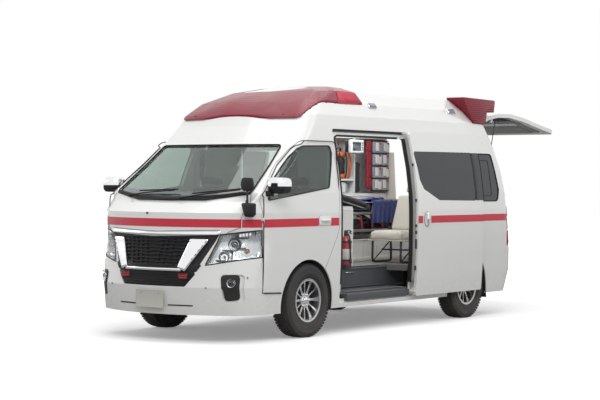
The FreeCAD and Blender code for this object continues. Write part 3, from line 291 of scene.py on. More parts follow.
class Finishes:
    """Every finish on the vehicle, by the name of its material slot in the record."""

    body_paint = Finish("body_paint", (0.86, 0.86, 0.84), 0.22, coat=1.0, shade=(0.82, 0.82, 0.80), mottle=0.3,
                        relief_scale=900, relief_depth=0.00003, dust=0.35, dust_top=0.55)
    black_trim = Finish("black_trim", (0.014, 0.014, 0.016), 0.5, shine=0.3, shade=(0.03, 0.03, 0.032),
                        relief_scale=600, dust=0.3, dust_top=0.5)
    seal_rubber = Finish("seal_rubber", (0.012, 0.012, 0.013), 0.62, shine=0.3, shade=(0.03, 0.03, 0.03),
                         relief_scale=350)
    headlight_lens = Finish("headlight_lens", (0.95, 0.97, 0.98), 0.02, clear=1.0, rough_spread=0.01, mottle=0.1,
                            relief_depth=0.00001)
    lamp_silver = Finish("lamp_silver", (0.82, 0.83, 0.85), 0.12, metallic=1.0, relief=Relief.LENS,
                         relief_scale=30, relief_depth=0.0008)
    tail_lens = Finish("tail_lens", (0.36, 0.006, 0.015), 0.1, coat=0.4, shade=(0.22, 0.004, 0.01),
                       relief=Relief.LENS, relief_scale=18, relief_depth=0.0012)
    beacon_lens = Finish("beacon_lens", (0.30, 0.005, 0.026), 0.20, coat=0.1, shine=0.3, shade=(0.15, 0.003, 0.014),
                         mottle=0.8, mottle_scale=2.2, relief=Relief.LENS, relief_scale=14, relief_depth=0.0015)
    beacon_bright = Finish("beacon_bright", (0.62, 0.008, 0.05), 0.20, coat=0.1, shine=0.3, shade=(0.36, 0.005, 0.03),
                           mottle=0.6, mottle_scale=9, relief=Relief.LENS, relief_scale=22, relief_depth=0.001)
    flasher_lens = Finish("flasher_lens", (0.40, 0.45, 0.52), 0.1, coat=1.0, shade=(0.12, 0.13, 0.16), mottle=1.0,
                          mottle_scale=26, relief=Relief.LENS, relief_scale=30, relief_depth=0.001)
    screen_glass = Finish("screen_glass", (0.55, 0.67, 0.61), 0.01, clear=1.0, rough_spread=0.005, mottle=0.1,
                          relief_depth=0.00001)
    door_glass = Finish("door_glass", (0.38, 0.46, 0.42), 0.01, clear=1.0, rough_spread=0.005, mottle=0.1,
                        relief_depth=0.00001)
    privacy_glass = Finish("privacy_glass", (0.020, 0.025, 0.031), 0.05, shine=0.4, shade=(0.038, 0.044, 0.051),
                           mottle=0.6, mottle_scale=1.4, relief_depth=0.00001)
    chassis_black = Finish("chassis_black", (0.02, 0.02, 0.022), 0.55, shade=(0.045, 0.042, 0.04), mottle_scale=12,
                           relief_scale=120, relief_depth=0.0006, dust=0.6, dust_top=0.6)
    cast_engine = Finish("cast_engine", (0.16, 0.16, 0.165), 0.6, metallic=0.7, shade=(0.08, 0.075, 0.07),
                         mottle_scale=8, relief_scale=90, relief_depth=0.001, dust=0.4)
    floor_vinyl = Finish("floor_vinyl", (0.15, 0.145, 0.135), 0.55, shade=(0.10, 0.10, 0.10), mottle_scale=60,
                         relief_scale=160, relief_depth=0.0008)
    rim_alloy = Finish("rim_alloy", (0.62, 0.63, 0.64), 0.28, metallic=1.0, coat=0.4, shade=(0.5, 0.5, 0.5),
                       relief_scale=500, dust=0.3, dust_top=0.5)
    tyre_rubber = Finish("tyre_rubber", (0.022, 0.023, 0.025), 0.78, shade=(0.04, 0.04, 0.042), mottle_scale=14,
                         relief_scale=180, relief_depth=0.0008, dust=0.35, dust_top=0.7)
    steel = Finish("steel", (0.42, 0.43, 0.44), 0.3, metallic=1.0, relief_scale=260)
    seat_vinyl = Finish("seat_vinyl", (0.47, 0.445, 0.385), 0.5, shade=(0.38, 0.36, 0.31), relief=Relief.LEATHER,
                        relief_scale=160, relief_depth=0.0006)
    cab_fabric = Finish("cab_fabric", (0.10, 0.10, 0.11), 0.85, shade=(0.06, 0.06, 0.07), sheen=0.3,
                        relief=Relief.WEAVE, relief_scale=90, relief_depth=0.001)
    dash_plastic = Finish("dash_plastic", (0.06, 0.06, 0.065), 0.6, shade=(0.09, 0.09, 0.095), relief_scale=300,
                          relief_depth=0.0005)
    cabinet_white = Finish("cabinet_white", (0.80, 0.80, 0.78), 0.3, shade=(0.72, 0.72, 0.70), relief_scale=200)
    blanket_blue = Finish("blanket_blue", (0.016, 0.034, 0.20), 0.9, shade=(0.010, 0.020, 0.12), sheen=0.2,
                          mottle_scale=9, relief=Relief.WEAVE, relief_scale=70, relief_depth=0.0015)
    pad_black = Finish("pad_black", (0.022, 0.022, 0.025), 0.55, shade=(0.04, 0.04, 0.044), relief=Relief.LEATHER,
                       relief_scale=140, relief_depth=0.0006)
    kit_mixed = Finish("kit_mixed", (0.36, 0.02, 0.04), 0.7, shade=(0.22, 0.012, 0.03), relief=Relief.WEAVE,
                       relief_scale=110, relief_depth=0.001)
    chrome = Finish("chrome", (0.90, 0.91, 0.92), 0.06, metallic=1.0, rough_spread=0.03, relief_scale=700,
                    relief_depth=0.00002)
    stripe_red = Finish("stripe_red", (0.66, 0.042, 0.070), 0.3, coat=0.1, shine=0.3, shade=(0.55, 0.032, 0.056),
                        mottle=0.4, relief_scale=700, relief_depth=0.00003)
    shadow_gap = Finish("shadow_gap", (0.03, 0.03, 0.032), 0.8, relief_scale=300)
    lining_grey = Finish("lining_grey", (0.36, 0.36, 0.34), 0.6, shade=(0.30, 0.30, 0.29), relief_scale=220,
                         relief_depth=0.0005)
    lining_cream = Finish("lining_cream", (0.66, 0.64, 0.58), 0.55, shade=(0.58, 0.56, 0.50), relief_scale=220,
                          relief_depth=0.0005)
    amber_lens = Finish("amber_lens", (0.62, 0.22, 0.02), 0.15, coat=1.0, relief=Relief.LENS, relief_scale=25,
                        relief_depth=0.001)
    orange_cloth = Finish("orange_cloth", (0.75, 0.16, 0.03), 0.7, shade=(0.6, 0.1, 0.02), relief=Relief.WEAVE,
                          relief_scale=110, relief_depth=0.001)
    pouch_film = Finish("pouch_film", (0.50, 0.53, 0.56), 0.12, coat=1.0, shade=(0.16, 0.17, 0.2), mottle=1.0,
                        mottle_scale=34, relief_scale=60, relief_depth=0.002)
    screen_dark = Finish("screen_dark", (0.05, 0.07, 0.08), 0.12, coat=1.0, relief_scale=500)
    bottle_red = Finish("bottle_red", (0.42, 0.01, 0.015), 0.25, coat=0.8, relief_scale=400,
                        relief_depth=0.00005)
    step_slate = Finish("step_slate", (0.075, 0.082, 0.090), 0.5, shade=(0.055, 0.060, 0.068), relief_scale=240,
                        relief_depth=0.0004)
    plate_pale = Finish("plate_pale", (0.62, 0.62, 0.56), 0.4, relief_scale=250)
    tag_yellow = Finish("tag_yellow", (0.80, 0.66, 0.05), 0.5, relief_scale=250)


# ---------------------------------------------------------------- the hand tools
class Hand:
    """Modelling steps as they are done by hand, each on one active object."""

    @staticmethod
    def clear() -> None:
        """Deselect every object."""
        bpy.ops.object.select_all(action="DESELECT")

    @staticmethod
    def pick(piece: bpy.types.Object) -> None:
        """Select one object only, and make it active."""
        Hand.clear()
        piece.select_set(True)
        bpy.context.view_layer.objects.active = piece

    @staticmethod
    @contextmanager
    def edit(piece: bpy.types.Object, mode: str = "FACE") -> Iterator[None]:
        """Work on a piece in edit mode with everything on it selected.

        Args:
            piece: the object to edit.
            mode: what is selected, VERT, EDGE or FACE.

        Yields:
            Nothing; object mode comes back at the end.
        """
        Hand.pick(piece)
        bpy.ops.object.mode_set(mode="EDIT")
        bpy.ops.mesh.select_mode(type=mode)
        bpy.ops.mesh.select_all(action="SELECT")
        yield
        bpy.ops.object.mode_set(mode="OBJECT")

    @staticmethod
    def choose(piece: bpy.types.Object, test: Callable[[Vector, Vector], bool], mode: str = "FACE") -> None:
        """Select what passes a test, from inside edit mode.

        Args:
            piece: the object being edited.
            test: takes a place and a normal and says whether it is wanted.
            mode: what is selected, VERT or FACE.
        """
        bpy.ops.mesh.select_mode(type=mode)
        bpy.ops.mesh.select_all(action="DESELECT")
        mesh = bmesh.from_edit_mesh(piece.data)
        if mode == "FACE":
            parts = [(face, face.calc_center_median(), face.normal) for face in mesh.faces]
        else:
            parts = [(vert, vert.co, vert.normal) for vert in mesh.verts]
        for part, place, normal in parts:
            if test(place, normal):
                part.select_set(True)
        mesh.select_flush_mode()
        bmesh.update_edit_mesh(piece.data)

    @staticmethod
    def inset(piece: bpy.types.Object, axis: str, sign: int, *steps: tuple[float, float], square: float = 0.9) -> None:
        """Sink or raise the middle of the faces that look one way.

        Args:
            piece: the piece to edit.
            axis: x, y or z.
            sign: 1 for the faces that look up the axis, -1 for those that look down it.
            steps: width of the rim and height of the middle, for one inset after another.
            square: how squarely the faces have to look that way.
        """
        with Hand.edit(piece):
            Hand.choose(piece, lambda place, normal: getattr(normal, axis) * sign > square)
            for thickness, depth in steps:
                bpy.ops.mesh.inset(thickness=thickness, depth=depth)

    @staticmethod
    def apply(piece: bpy.types.Object, kind: str, **settings: object) -> None:
        """Add one modifier, set it and apply it.

        Args:
            piece: the object that gets it.
            kind: the modifier's type.
            settings: its properties by name.
        """
        Hand.pick(piece)
        modifier = piece.modifiers.new(kind.title(), kind)
        for label, value in settings.items():
            setattr(modifier, label, value)
        bpy.ops.object.modifier_apply(modifier=modifier.name)

    @staticmethod
    def settle(piece: bpy.types.Object) -> None:
        """Move an object's place, turn and size into its mesh."""
        Hand.pick(piece)
        bpy.ops.object.transform_apply(location=True, rotation=True, scale=True)

    @staticmethod
    def box(name: str, low: Point, high: Point, bevel: float = 0.0, steps: int = 2) -> bpy.types.Object:
        """A block between two corners, with rounded edges.

        Args:
            name: name of the piece.
            low: lowest corner.
            high: highest corner.
            bevel: radius of its edges.
            steps: segments of each rounded edge.

        Returns:
            The new object.
        """
        Hand.clear()
        middle = [(a + b) / 2 for a, b in zip(low, high)]
        bpy.ops.mesh.primitive_cube_add(size=1, location=middle, scale=[b - a for a, b in zip(low, high)])
        piece = bpy.context.object
        piece.name = name
        Hand.settle(piece)
        if bevel:
            Hand.apply(piece, "BEVEL", width=bevel, segments=steps, limit_method="ANGLE", harden_normals=False)
        return piece

    @staticmethod
    def rod(name: str, start: Point, end: Point, radius: float, sides: int = 24, tip: float | None = None,
            bevel: float = 0.0) -> bpy.types.Object:
        """A round bar or cone from one point to another.

        Args:
            name: name of the piece.
            start: middle of its first end.
            end: middle of its last end.
            radius: radius at the first end.
            sides: faces round it.
            tip: radius at the last end, or the same.
            bevel: radius of its end edges.

        Returns:
            The new object.
        """
        Hand.clear()
        line = Vector(end) - Vector(start)
        turn = line.to_track_quat("Z", "Y").to_euler()
        bpy.ops.mesh.primitive_cone_add(vertices=sides, radius1=radius, radius2=radius if tip is None else tip,
                                        depth=line.length, location=(Vector(start) + Vector(end)) / 2, rotation=turn)
        piece = bpy.context.object
        piece.name = name
        Hand.settle(piece)
        if bevel:
            Hand.apply(piece, "BEVEL", width=bevel, segments=3, limit_method="ANGLE", angle_limit=0.9)
        return piece

    @staticmethod
    def chain(name: str, points: Sequence[Point], closed: bool = False) -> bpy.types.Object:
        """A line of edges through some points, extruded one after another.

        Args:
            name: name of the piece.
            points: where the line goes.
            closed: whether it comes back to its start.

        Returns:
            The new object, with no faces yet.
        """
        Hand.clear()
        bpy.ops.mesh.primitive_plane_add(size=0.01, location=points[0])
        piece = bpy.context.object
        piece.name = name
        Hand.settle(piece)
        with Hand.edit(piece, "VERT"):
            bpy.ops.mesh.merge(type="CENTER")
            for before, after in zip(points, points[1:]):
                step = Vector(after) - Vector(before)
                bpy.ops.mesh.extrude_vertices_move(TRANSFORM_OT_translate={"value": step})
            if closed:
                bpy.ops.mesh.select_all(action="SELECT")
                mesh = bmesh.from_edit_mesh(piece.data)
                mesh.verts.ensure_lookup_table()
                bpy.ops.mesh.select_all(action="DESELECT")
                ends = [vert for vert in mesh.verts if len(vert.link_edges) == 1]
                for vert in ends:
                    vert.select_set(True)
                bmesh.update_edit_mesh(piece.data)
                bpy.ops.mesh.edge_face_add()
        return piece

    @staticmethod
    def plate(name: str, points: Sequence[Point], depth: Point, bevel: float = 0.0,
              steps: int = 2) -> bpy.types.Object:
        """A flat outline given a thickness.

        Args:
            name: name of the piece.
            points: its corners in turn.
            depth: how far and which way it is extruded.
            bevel: radius of its edges.
            steps: segments of each rounded edge.

        Returns:
            The new object.
        """
        piece = Hand.chain(name, points, closed=True)
        with Hand.edit(piece, "EDGE"):
            bpy.ops.mesh.edge_face_add()
            bpy.ops.mesh.select_all(action="SELECT")
            bpy.ops.mesh.extrude_region_move(TRANSFORM_OT_translate={"value": depth})
            bpy.ops.mesh.select_all(action="SELECT")
            bpy.ops.mesh.normals_make_consistent(inside=False)
        if bevel:
            Hand.apply(piece, "BEVEL", width=bevel, segments=steps, limit_method="ANGLE", angle_limit=0.6)
        return piece

    @staticmethod
    def lathe(name: str, profile: Sequence[Point], centre: Point, axis: Point, steps: int = 48,
              angle: float = 2 * math.pi) -> bpy.types.Object:
        """A line spun round an axis.

        Args:
            name: name of the piece.
            profile: points of the line.
            centre: a point on the axis.
            axis: direction of the axis.
            steps: segments round it.
            angle: how far it is spun.

        Returns:
            The new object, its normals outward.
        """
        piece = Hand.chain(name, profile)
        with Hand.edit(piece, "EDGE"):
            bpy.ops.mesh.spin(steps=steps, angle=angle, center=centre, axis=axis)
            bpy.ops.mesh.select_all(action="SELECT")
            bpy.ops.mesh.remove_doubles(threshold=0.00002)
            bpy.ops.mesh.normals_make_consistent(inside=False)
        return piece

    @staticmethod
    def disc(name: str, profile: Sequence[tuple[float, float]], sides: int) -> bpy.types.Object:
        """A shape turned about the Y axis at the origin.

        Args:
            name: name of the piece.
            profile: radius and place along the axis of each point.
            sides: segments round it.

        Returns:
            The new object.
        """
        return Hand.lathe(name, [(radius, along, 0) for radius, along in profile], (0, 0, 0), (0, 1, 0), sides)

    @staticmethod
    def ribbon(name: str, points: Sequence[Point], across: Point, thickness: float, closed: bool = False,
               bevel: float = 0.0, offset: float = 0.0) -> bpy.types.Object:
        """A strip that runs through some points.

        Args:
            name: name of the piece.
            points: the line of its first edge.
            across: the step from that edge to the other.
            thickness: how thick it is.
            closed: whether it comes back to its start.
            bevel: radius of its edges.
            offset: which side of the line the thickness lies on, -1 to 1.

        Returns:
            The new object.
        """
        piece = Hand.chain(name, points, closed)
        with Hand.edit(piece, "EDGE"):
            bpy.ops.mesh.extrude_region_move(TRANSFORM_OT_translate={"value": across})
            bpy.ops.mesh.select_all(action="SELECT")
            bpy.ops.mesh.normals_make_consistent(inside=False)
        Hand.apply(piece, "SOLIDIFY", thickness=thickness, offset=offset, use_even_offset=True)
        if bevel:
            Hand.apply(piece, "BEVEL", width=bevel, segments=2, limit_method="ANGLE", angle_limit=0.7)
        return piece

    @staticmethod
    def tube(name: str, points: Sequence[Point], radius: float, closed: bool = False, sides: int = 10,
             smooth: bool = True) -> bpy.types.Object:
        """A round tube along a line, for seals, rails and pipes.

        Args:
            name: name of the piece.
            points: where its middle line goes.
            radius: its radius.
            closed: whether it comes back to its start.
            sides: faces round it.
            smooth: whether the line is rounded at its points.

        Returns:
            The new object as a mesh.
        """
        curve = bpy.data.curves.new(name, "CURVE")
        curve.dimensions = "3D"
        curve.bevel_depth = radius
        curve.bevel_resolution = max(0, sides // 4 - 1)
        curve.use_fill_caps = not closed
        spline = curve.splines.new("NURBS" if smooth else "POLY")
        spline.points.add(len(points) - 1)
        for knot, place in zip(spline.points, points):
            knot.co = (*place, 1)
        spline.use_cyclic_u = closed
        if smooth:
            spline.order_u = 3
            spline.use_endpoint_u = not closed
            spline.resolution_u = 6
        piece = bpy.data.objects.new(name, curve)
        bpy.context.collection.objects.link(piece)
        Hand.pick(piece)
        bpy.ops.object.convert(target="MESH")
        return bpy.context.object

    @staticmethod
    def copy(piece: bpy.types.Object, name: str, move: Point = (0, 0, 0), mirror: str = "") -> bpy.types.Object:
        """A copy of a piece with a mesh of its own, moved or mirrored.

        Args:
            piece: the piece to copy.
            name: the copy's name.
            move: how far the copy is moved.
            mirror: an axis to mirror across the middle plane, or nothing.

        Returns:
            The new object, its place in its mesh.
        """
        Hand.pick(piece)
        bpy.ops.object.duplicate(linked=False)
        twin = bpy.context.object
        twin.name = name
        with Hand.edit(twin, "VERT"):
            if mirror:
                size = [-1 if axis == mirror else 1 for axis in "XYZ"]
                bpy.ops.transform.resize(value=size, center_override=(0, 0, 0))
                bpy.ops.mesh.flip_normals()
            if any(move):
                bpy.ops.transform.translate(value=move)
        return twin

    @staticmethod
    def loose(node: str, name: str) -> bpy.types.Object:
        """A copy of a CAD node that belongs to no body, its doubled corners merged.

        Args:
            node: name of the node.
            name: the copy's name.

        Returns:
            The new object.
        """
        piece = Hand.copy(frame["nodes"][node], name)
        piece.parent = None
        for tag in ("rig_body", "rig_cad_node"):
            if tag in piece:
                del piece[tag]
        with Hand.edit(piece):
            bpy.ops.mesh.remove_doubles(threshold=MERGE)
        return piece

    @staticmethod
    def spare(piece: bpy.types.Object, name: str) -> bpy.types.Object:
        """A plain copy of a piece with a mesh of its own, for shapes repeated hundreds of times."""
        twin = bpy.data.objects.new(name, piece.data.copy())
        bpy.context.collection.objects.link(twin)
        return twin

    @staticmethod
    def turn(piece: bpy.types.Object, angle: float, axis: str, centre: Point) -> None:
        """Turn the whole of a piece's mesh about a point.

        Args:
            piece: the piece to turn.
            angle: how far, in radians, right-handed about the axis.
            axis: X, Y or Z.
            centre: the point it turns about.
        """
        Hand.settle(piece)
        piece.data.transform(Matrix.Translation(centre) @ Matrix.Rotation(angle, 4, axis)
                             @ Matrix.Translation(-Vector(centre)))

    @staticmethod
    def join(name: str, pieces: Sequence[bpy.types.Object]) -> bpy.types.Object:
        """Join pieces of one finish into one object."""
        Hand.clear()
        for piece in pieces:
            piece.select_set(True)
        bpy.context.view_layer.objects.active = pieces[0]
        if len(pieces) > 1:
            bpy.ops.object.join()
        pieces[0].name = name
        return pieces[0]

    @staticmethod
    def subdivide(piece: bpy.types.Object, cuts: int) -> None:
        """Cut every edge of a piece into smaller ones."""
        with Hand.edit(piece):
            bpy.ops.mesh.subdivide(number_cuts=cuts)

    @staticmethod
    def finish(piece: bpy.types.Object, finish: Finish, slot: str = "", replaces: Sequence[str] = (),
               smooth: float = 35.0, body: str = "vehicle") -> bpy.types.Object:
        """Shade a piece, dress it and give it to its body.

        Args:
            piece: the finished mesh.
            finish: what it is made of.
            slot: the record's slot it answers to; not used.
            replaces: the plain parts it stands for.
            smooth: edges flatter than this many degrees are smooth.
            body: the body that carries it.

        Returns:
            The same piece.
        """
        Hand.settle(piece)
        bpy.ops.object.shade_smooth_by_angle(angle=math.radians(smooth))
        piece.data.name = piece.name
        piece.data.materials.clear()
        piece.data.materials.append(finish.material())
        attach(piece, body)
        if replaces:
            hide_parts(*replaces)
        LOG.info("%s: %d faces", piece.name, len(piece.data.polygons))
        return piece


class Skin:
    """The body's outer surface, so that trim can be laid on it exactly."""

    def __init__(self, *nodes: str) -> None:
        """Gather the surface of some CAD nodes.

        Args:
            nodes: names of the nodes whose surface counts.
        """
        from mathutils.bvhtree import BVHTree
        places: list[Vector] = []
        faces: list[list[int]] = []
        for name in nodes:
            mesh = frame["nodes"][name].data
            start = len(places)
            places += [vert.co.copy() for vert in mesh.vertices]
            faces += [[start + index for index in face.vertices] for face in mesh.polygons]
        self.tree = BVHTree.FromPolygons(places, faces)

    def cast(self, start: Point, way: Point, lift: float = 0.0) -> Vector:
        """Where a line from outside meets the surface.

        Args:
            start: a point outside it.
            way: direction of the line.
            lift: how far off the surface the answer lies.

        Returns:
            The place, or the nearest place on the surface if the line misses.
        """
        place, normal, _, _ = self.tree.ray_cast(Vector(start), Vector(way))
        if place is None:
            place, normal, _, _ = self.tree.find_nearest(Vector(start))
        if normal.dot(Vector(way)) > 0:
            normal = -normal
        return place + normal * lift

    def side(self, y: float, z: float, sign: int = 1, lift: float = 0.0) -> Vector:
        """The place on a flank at a distance along it and a height."""
        return self.cast((sign * BESIDE, y, z), (-sign, 0, 0), lift)

    def front(self, x: float, z: float, lift: float = 0.0) -> Vector:
        """The place on the front at a distance across it and a height."""
        return self.cast((x, AHEAD, z), (0, 1, 0), lift)

    def tail(self, x: float, z: float, lift: float = 0.0) -> Vector:
        """The place on the tail at a distance across it and a height."""
        return self.cast((x, BEHIND, z), (0, -1, 0), lift)


def rounded(corners: Sequence[tuple[float, float, float]], steps: int = 5) -> list[tuple[float, float]]:
    """Points of a flat closed outline with rounded corners.

    Args:
        corners: two places and a radius for each corner.
        steps: points along each rounded corner.

    Returns:
        The outline's points in turn.
    """
    points: list[tuple[float, float]] = []
    count = len(corners)
    for index, (u, v, radius) in enumerate(corners):
        here = Vector((u, v))
        back = Vector(corners[index - 1][:2]) - here
        ahead = Vector(corners[(index + 1) % count][:2]) - here
        if radius <= 0:
            points.append((u, v))
            continue
        half = back.angle(ahead) / 2
        reach = min(radius / math.tan(half), back.length * 0.49, ahead.length * 0.49)
        start, end = here + back.normalized() * reach, here + ahead.normalized() * reach
        for step in range(steps + 1):
            t = step / steps
            spot = start * (1 - t) ** 2 + here * 2 * t * (1 - t) + end * t ** 2
            points.append((spot.x, spot.y))
    return points


def dense(points: Sequence[tuple[float, float]], reach: float, closed: bool = True) -> list[tuple[float, float]]:
    """The same outline with more points on its long runs.

    Args:
        points: outline's points in turn.
        reach: longest run that is left.
        closed: whether it comes back to its start.

    Returns:
        The outline with points added.
    """
    result: list[tuple[float, float]] = []
    ends = list(points[1:]) + ([points[0]] if closed else [])
    for (u, v), (p, q) in zip(points, ends):
        cuts = max(1, math.ceil(math.hypot(p - u, q - v) / reach))
        result += [(u + (p - u) * k / cuts, v + (q - v) * k / cuts) for k in range(cuts)]
    if not closed:
        result.append(points[-1])
    return result


BODY = Skin("roof", "front_bumper", "bonnet", "screen_frame", "rear_bumper", "side_panel_left",
            "side_panel_right", "front_door_left", "front_door_right", "grille", "headlights", "windscreen",
            "tail_lamps", "front_door_glass_left", "front_door_glass_right", "side_windows")
SLIDER = Skin("sliding_door", "sliding_door_glass")


class Facing:
    """Flat outlines laid on the body's skin as thin pieces."""

    @staticmethod
    def panel(name: str, outline: Sequence[tuple[float, float]], project: Callable[[float, float], Vector],
              away: Vector, thickness: float, step: float = 0.04, bevel: float = 0.0) -> bpy.types.Object:
        """A filled outline that follows the skin.

        Args:
            name: name of the piece.
            outline: flat closed outline.
            project: turns a flat point into a place on the skin.
            away: direction off the skin, along which the outline is flat.
            thickness: how thick the piece is.
            step: spacing of the lines it is cut along.
            bevel: radius of its edges.

        Returns:
            The new object.
        """
        flat = [Vector((x, 0, z)) if abs(away.y) > 0.5 else
                (Vector((0, x, z)) if abs(away.x) > 0.5 else Vector((x, z, 0))) for x, z in outline]
        piece = Hand.chain(name, flat, closed=True)
        low = [min(p[k] for p in flat) for k in range(3)]
        high = [max(p[k] for p in flat) for k in range(3)]
        with Hand.edit(piece, "EDGE"):
            bpy.ops.mesh.edge_face_add()
            for axis in range(3):
                count = int((high[axis] - low[axis]) / step)
                for cut in range(1, count + 1):
                    spot = [0.0, 0.0, 0.0]
                    spot[axis] = low[axis] + (high[axis] - low[axis]) * cut / (count + 1)
                    normal = [1.0 if k == axis else 0.0 for k in range(3)]
                    bpy.ops.mesh.select_all(action="SELECT")
                    bpy.ops.mesh.bisect(plane_co=spot, plane_no=normal)
            bpy.ops.mesh.select_all(action="SELECT")
            bpy.ops.mesh.normals_make_consistent(inside=False)
        flip = piece.data.polygons[0].normal.dot(away) < 0
        if flip:
            with Hand.edit(piece):
                bpy.ops.mesh.flip_normals()
        for vert in piece.data.vertices:
            x, y, z = vert.co
            pair = (x, z) if abs(away.y) > 0.5 else ((y, z) if abs(away.x) > 0.5 else (x, y))
            vert.co = project(*pair)
        Hand.apply(piece, "SOLIDIFY", thickness=thickness, offset=1.0)
        if bevel:
            Hand.apply(piece, "BEVEL", width=bevel, segments=2, limit_method="ANGLE", angle_limit=0.9)
        return piece

    @staticmethod
    def front(name: str, outline: Sequence[tuple[float, float]], thickness: float, lift: float = 0.0005,
              step: float = 0.04, bevel: float = 0.0) -> bpy.types.Object:
        """A piece that lies on the front; its outline is (across, height)."""
        return Facing.panel(name, outline, lambda x, z: BODY.front(x, z, lift), Vector((0, -1, 0)), thickness,
                            step, bevel)

    @staticmethod
    def side(name: str, outline: Sequence[tuple[float, float]], thickness: float, sign: int = 1,
             lift: float = 0.0005, step: float = 0.05, skin: Skin | None = None,
             bevel: float = 0.0) -> bpy.types.Object:
        """A piece that lies on a flank; its outline is (along, height)."""
        base = skin or BODY
        return Facing.panel(name, outline, lambda y, z: base.side(y, z, sign, lift), Vector((sign, 0, 0)),
                            thickness, step, bevel)


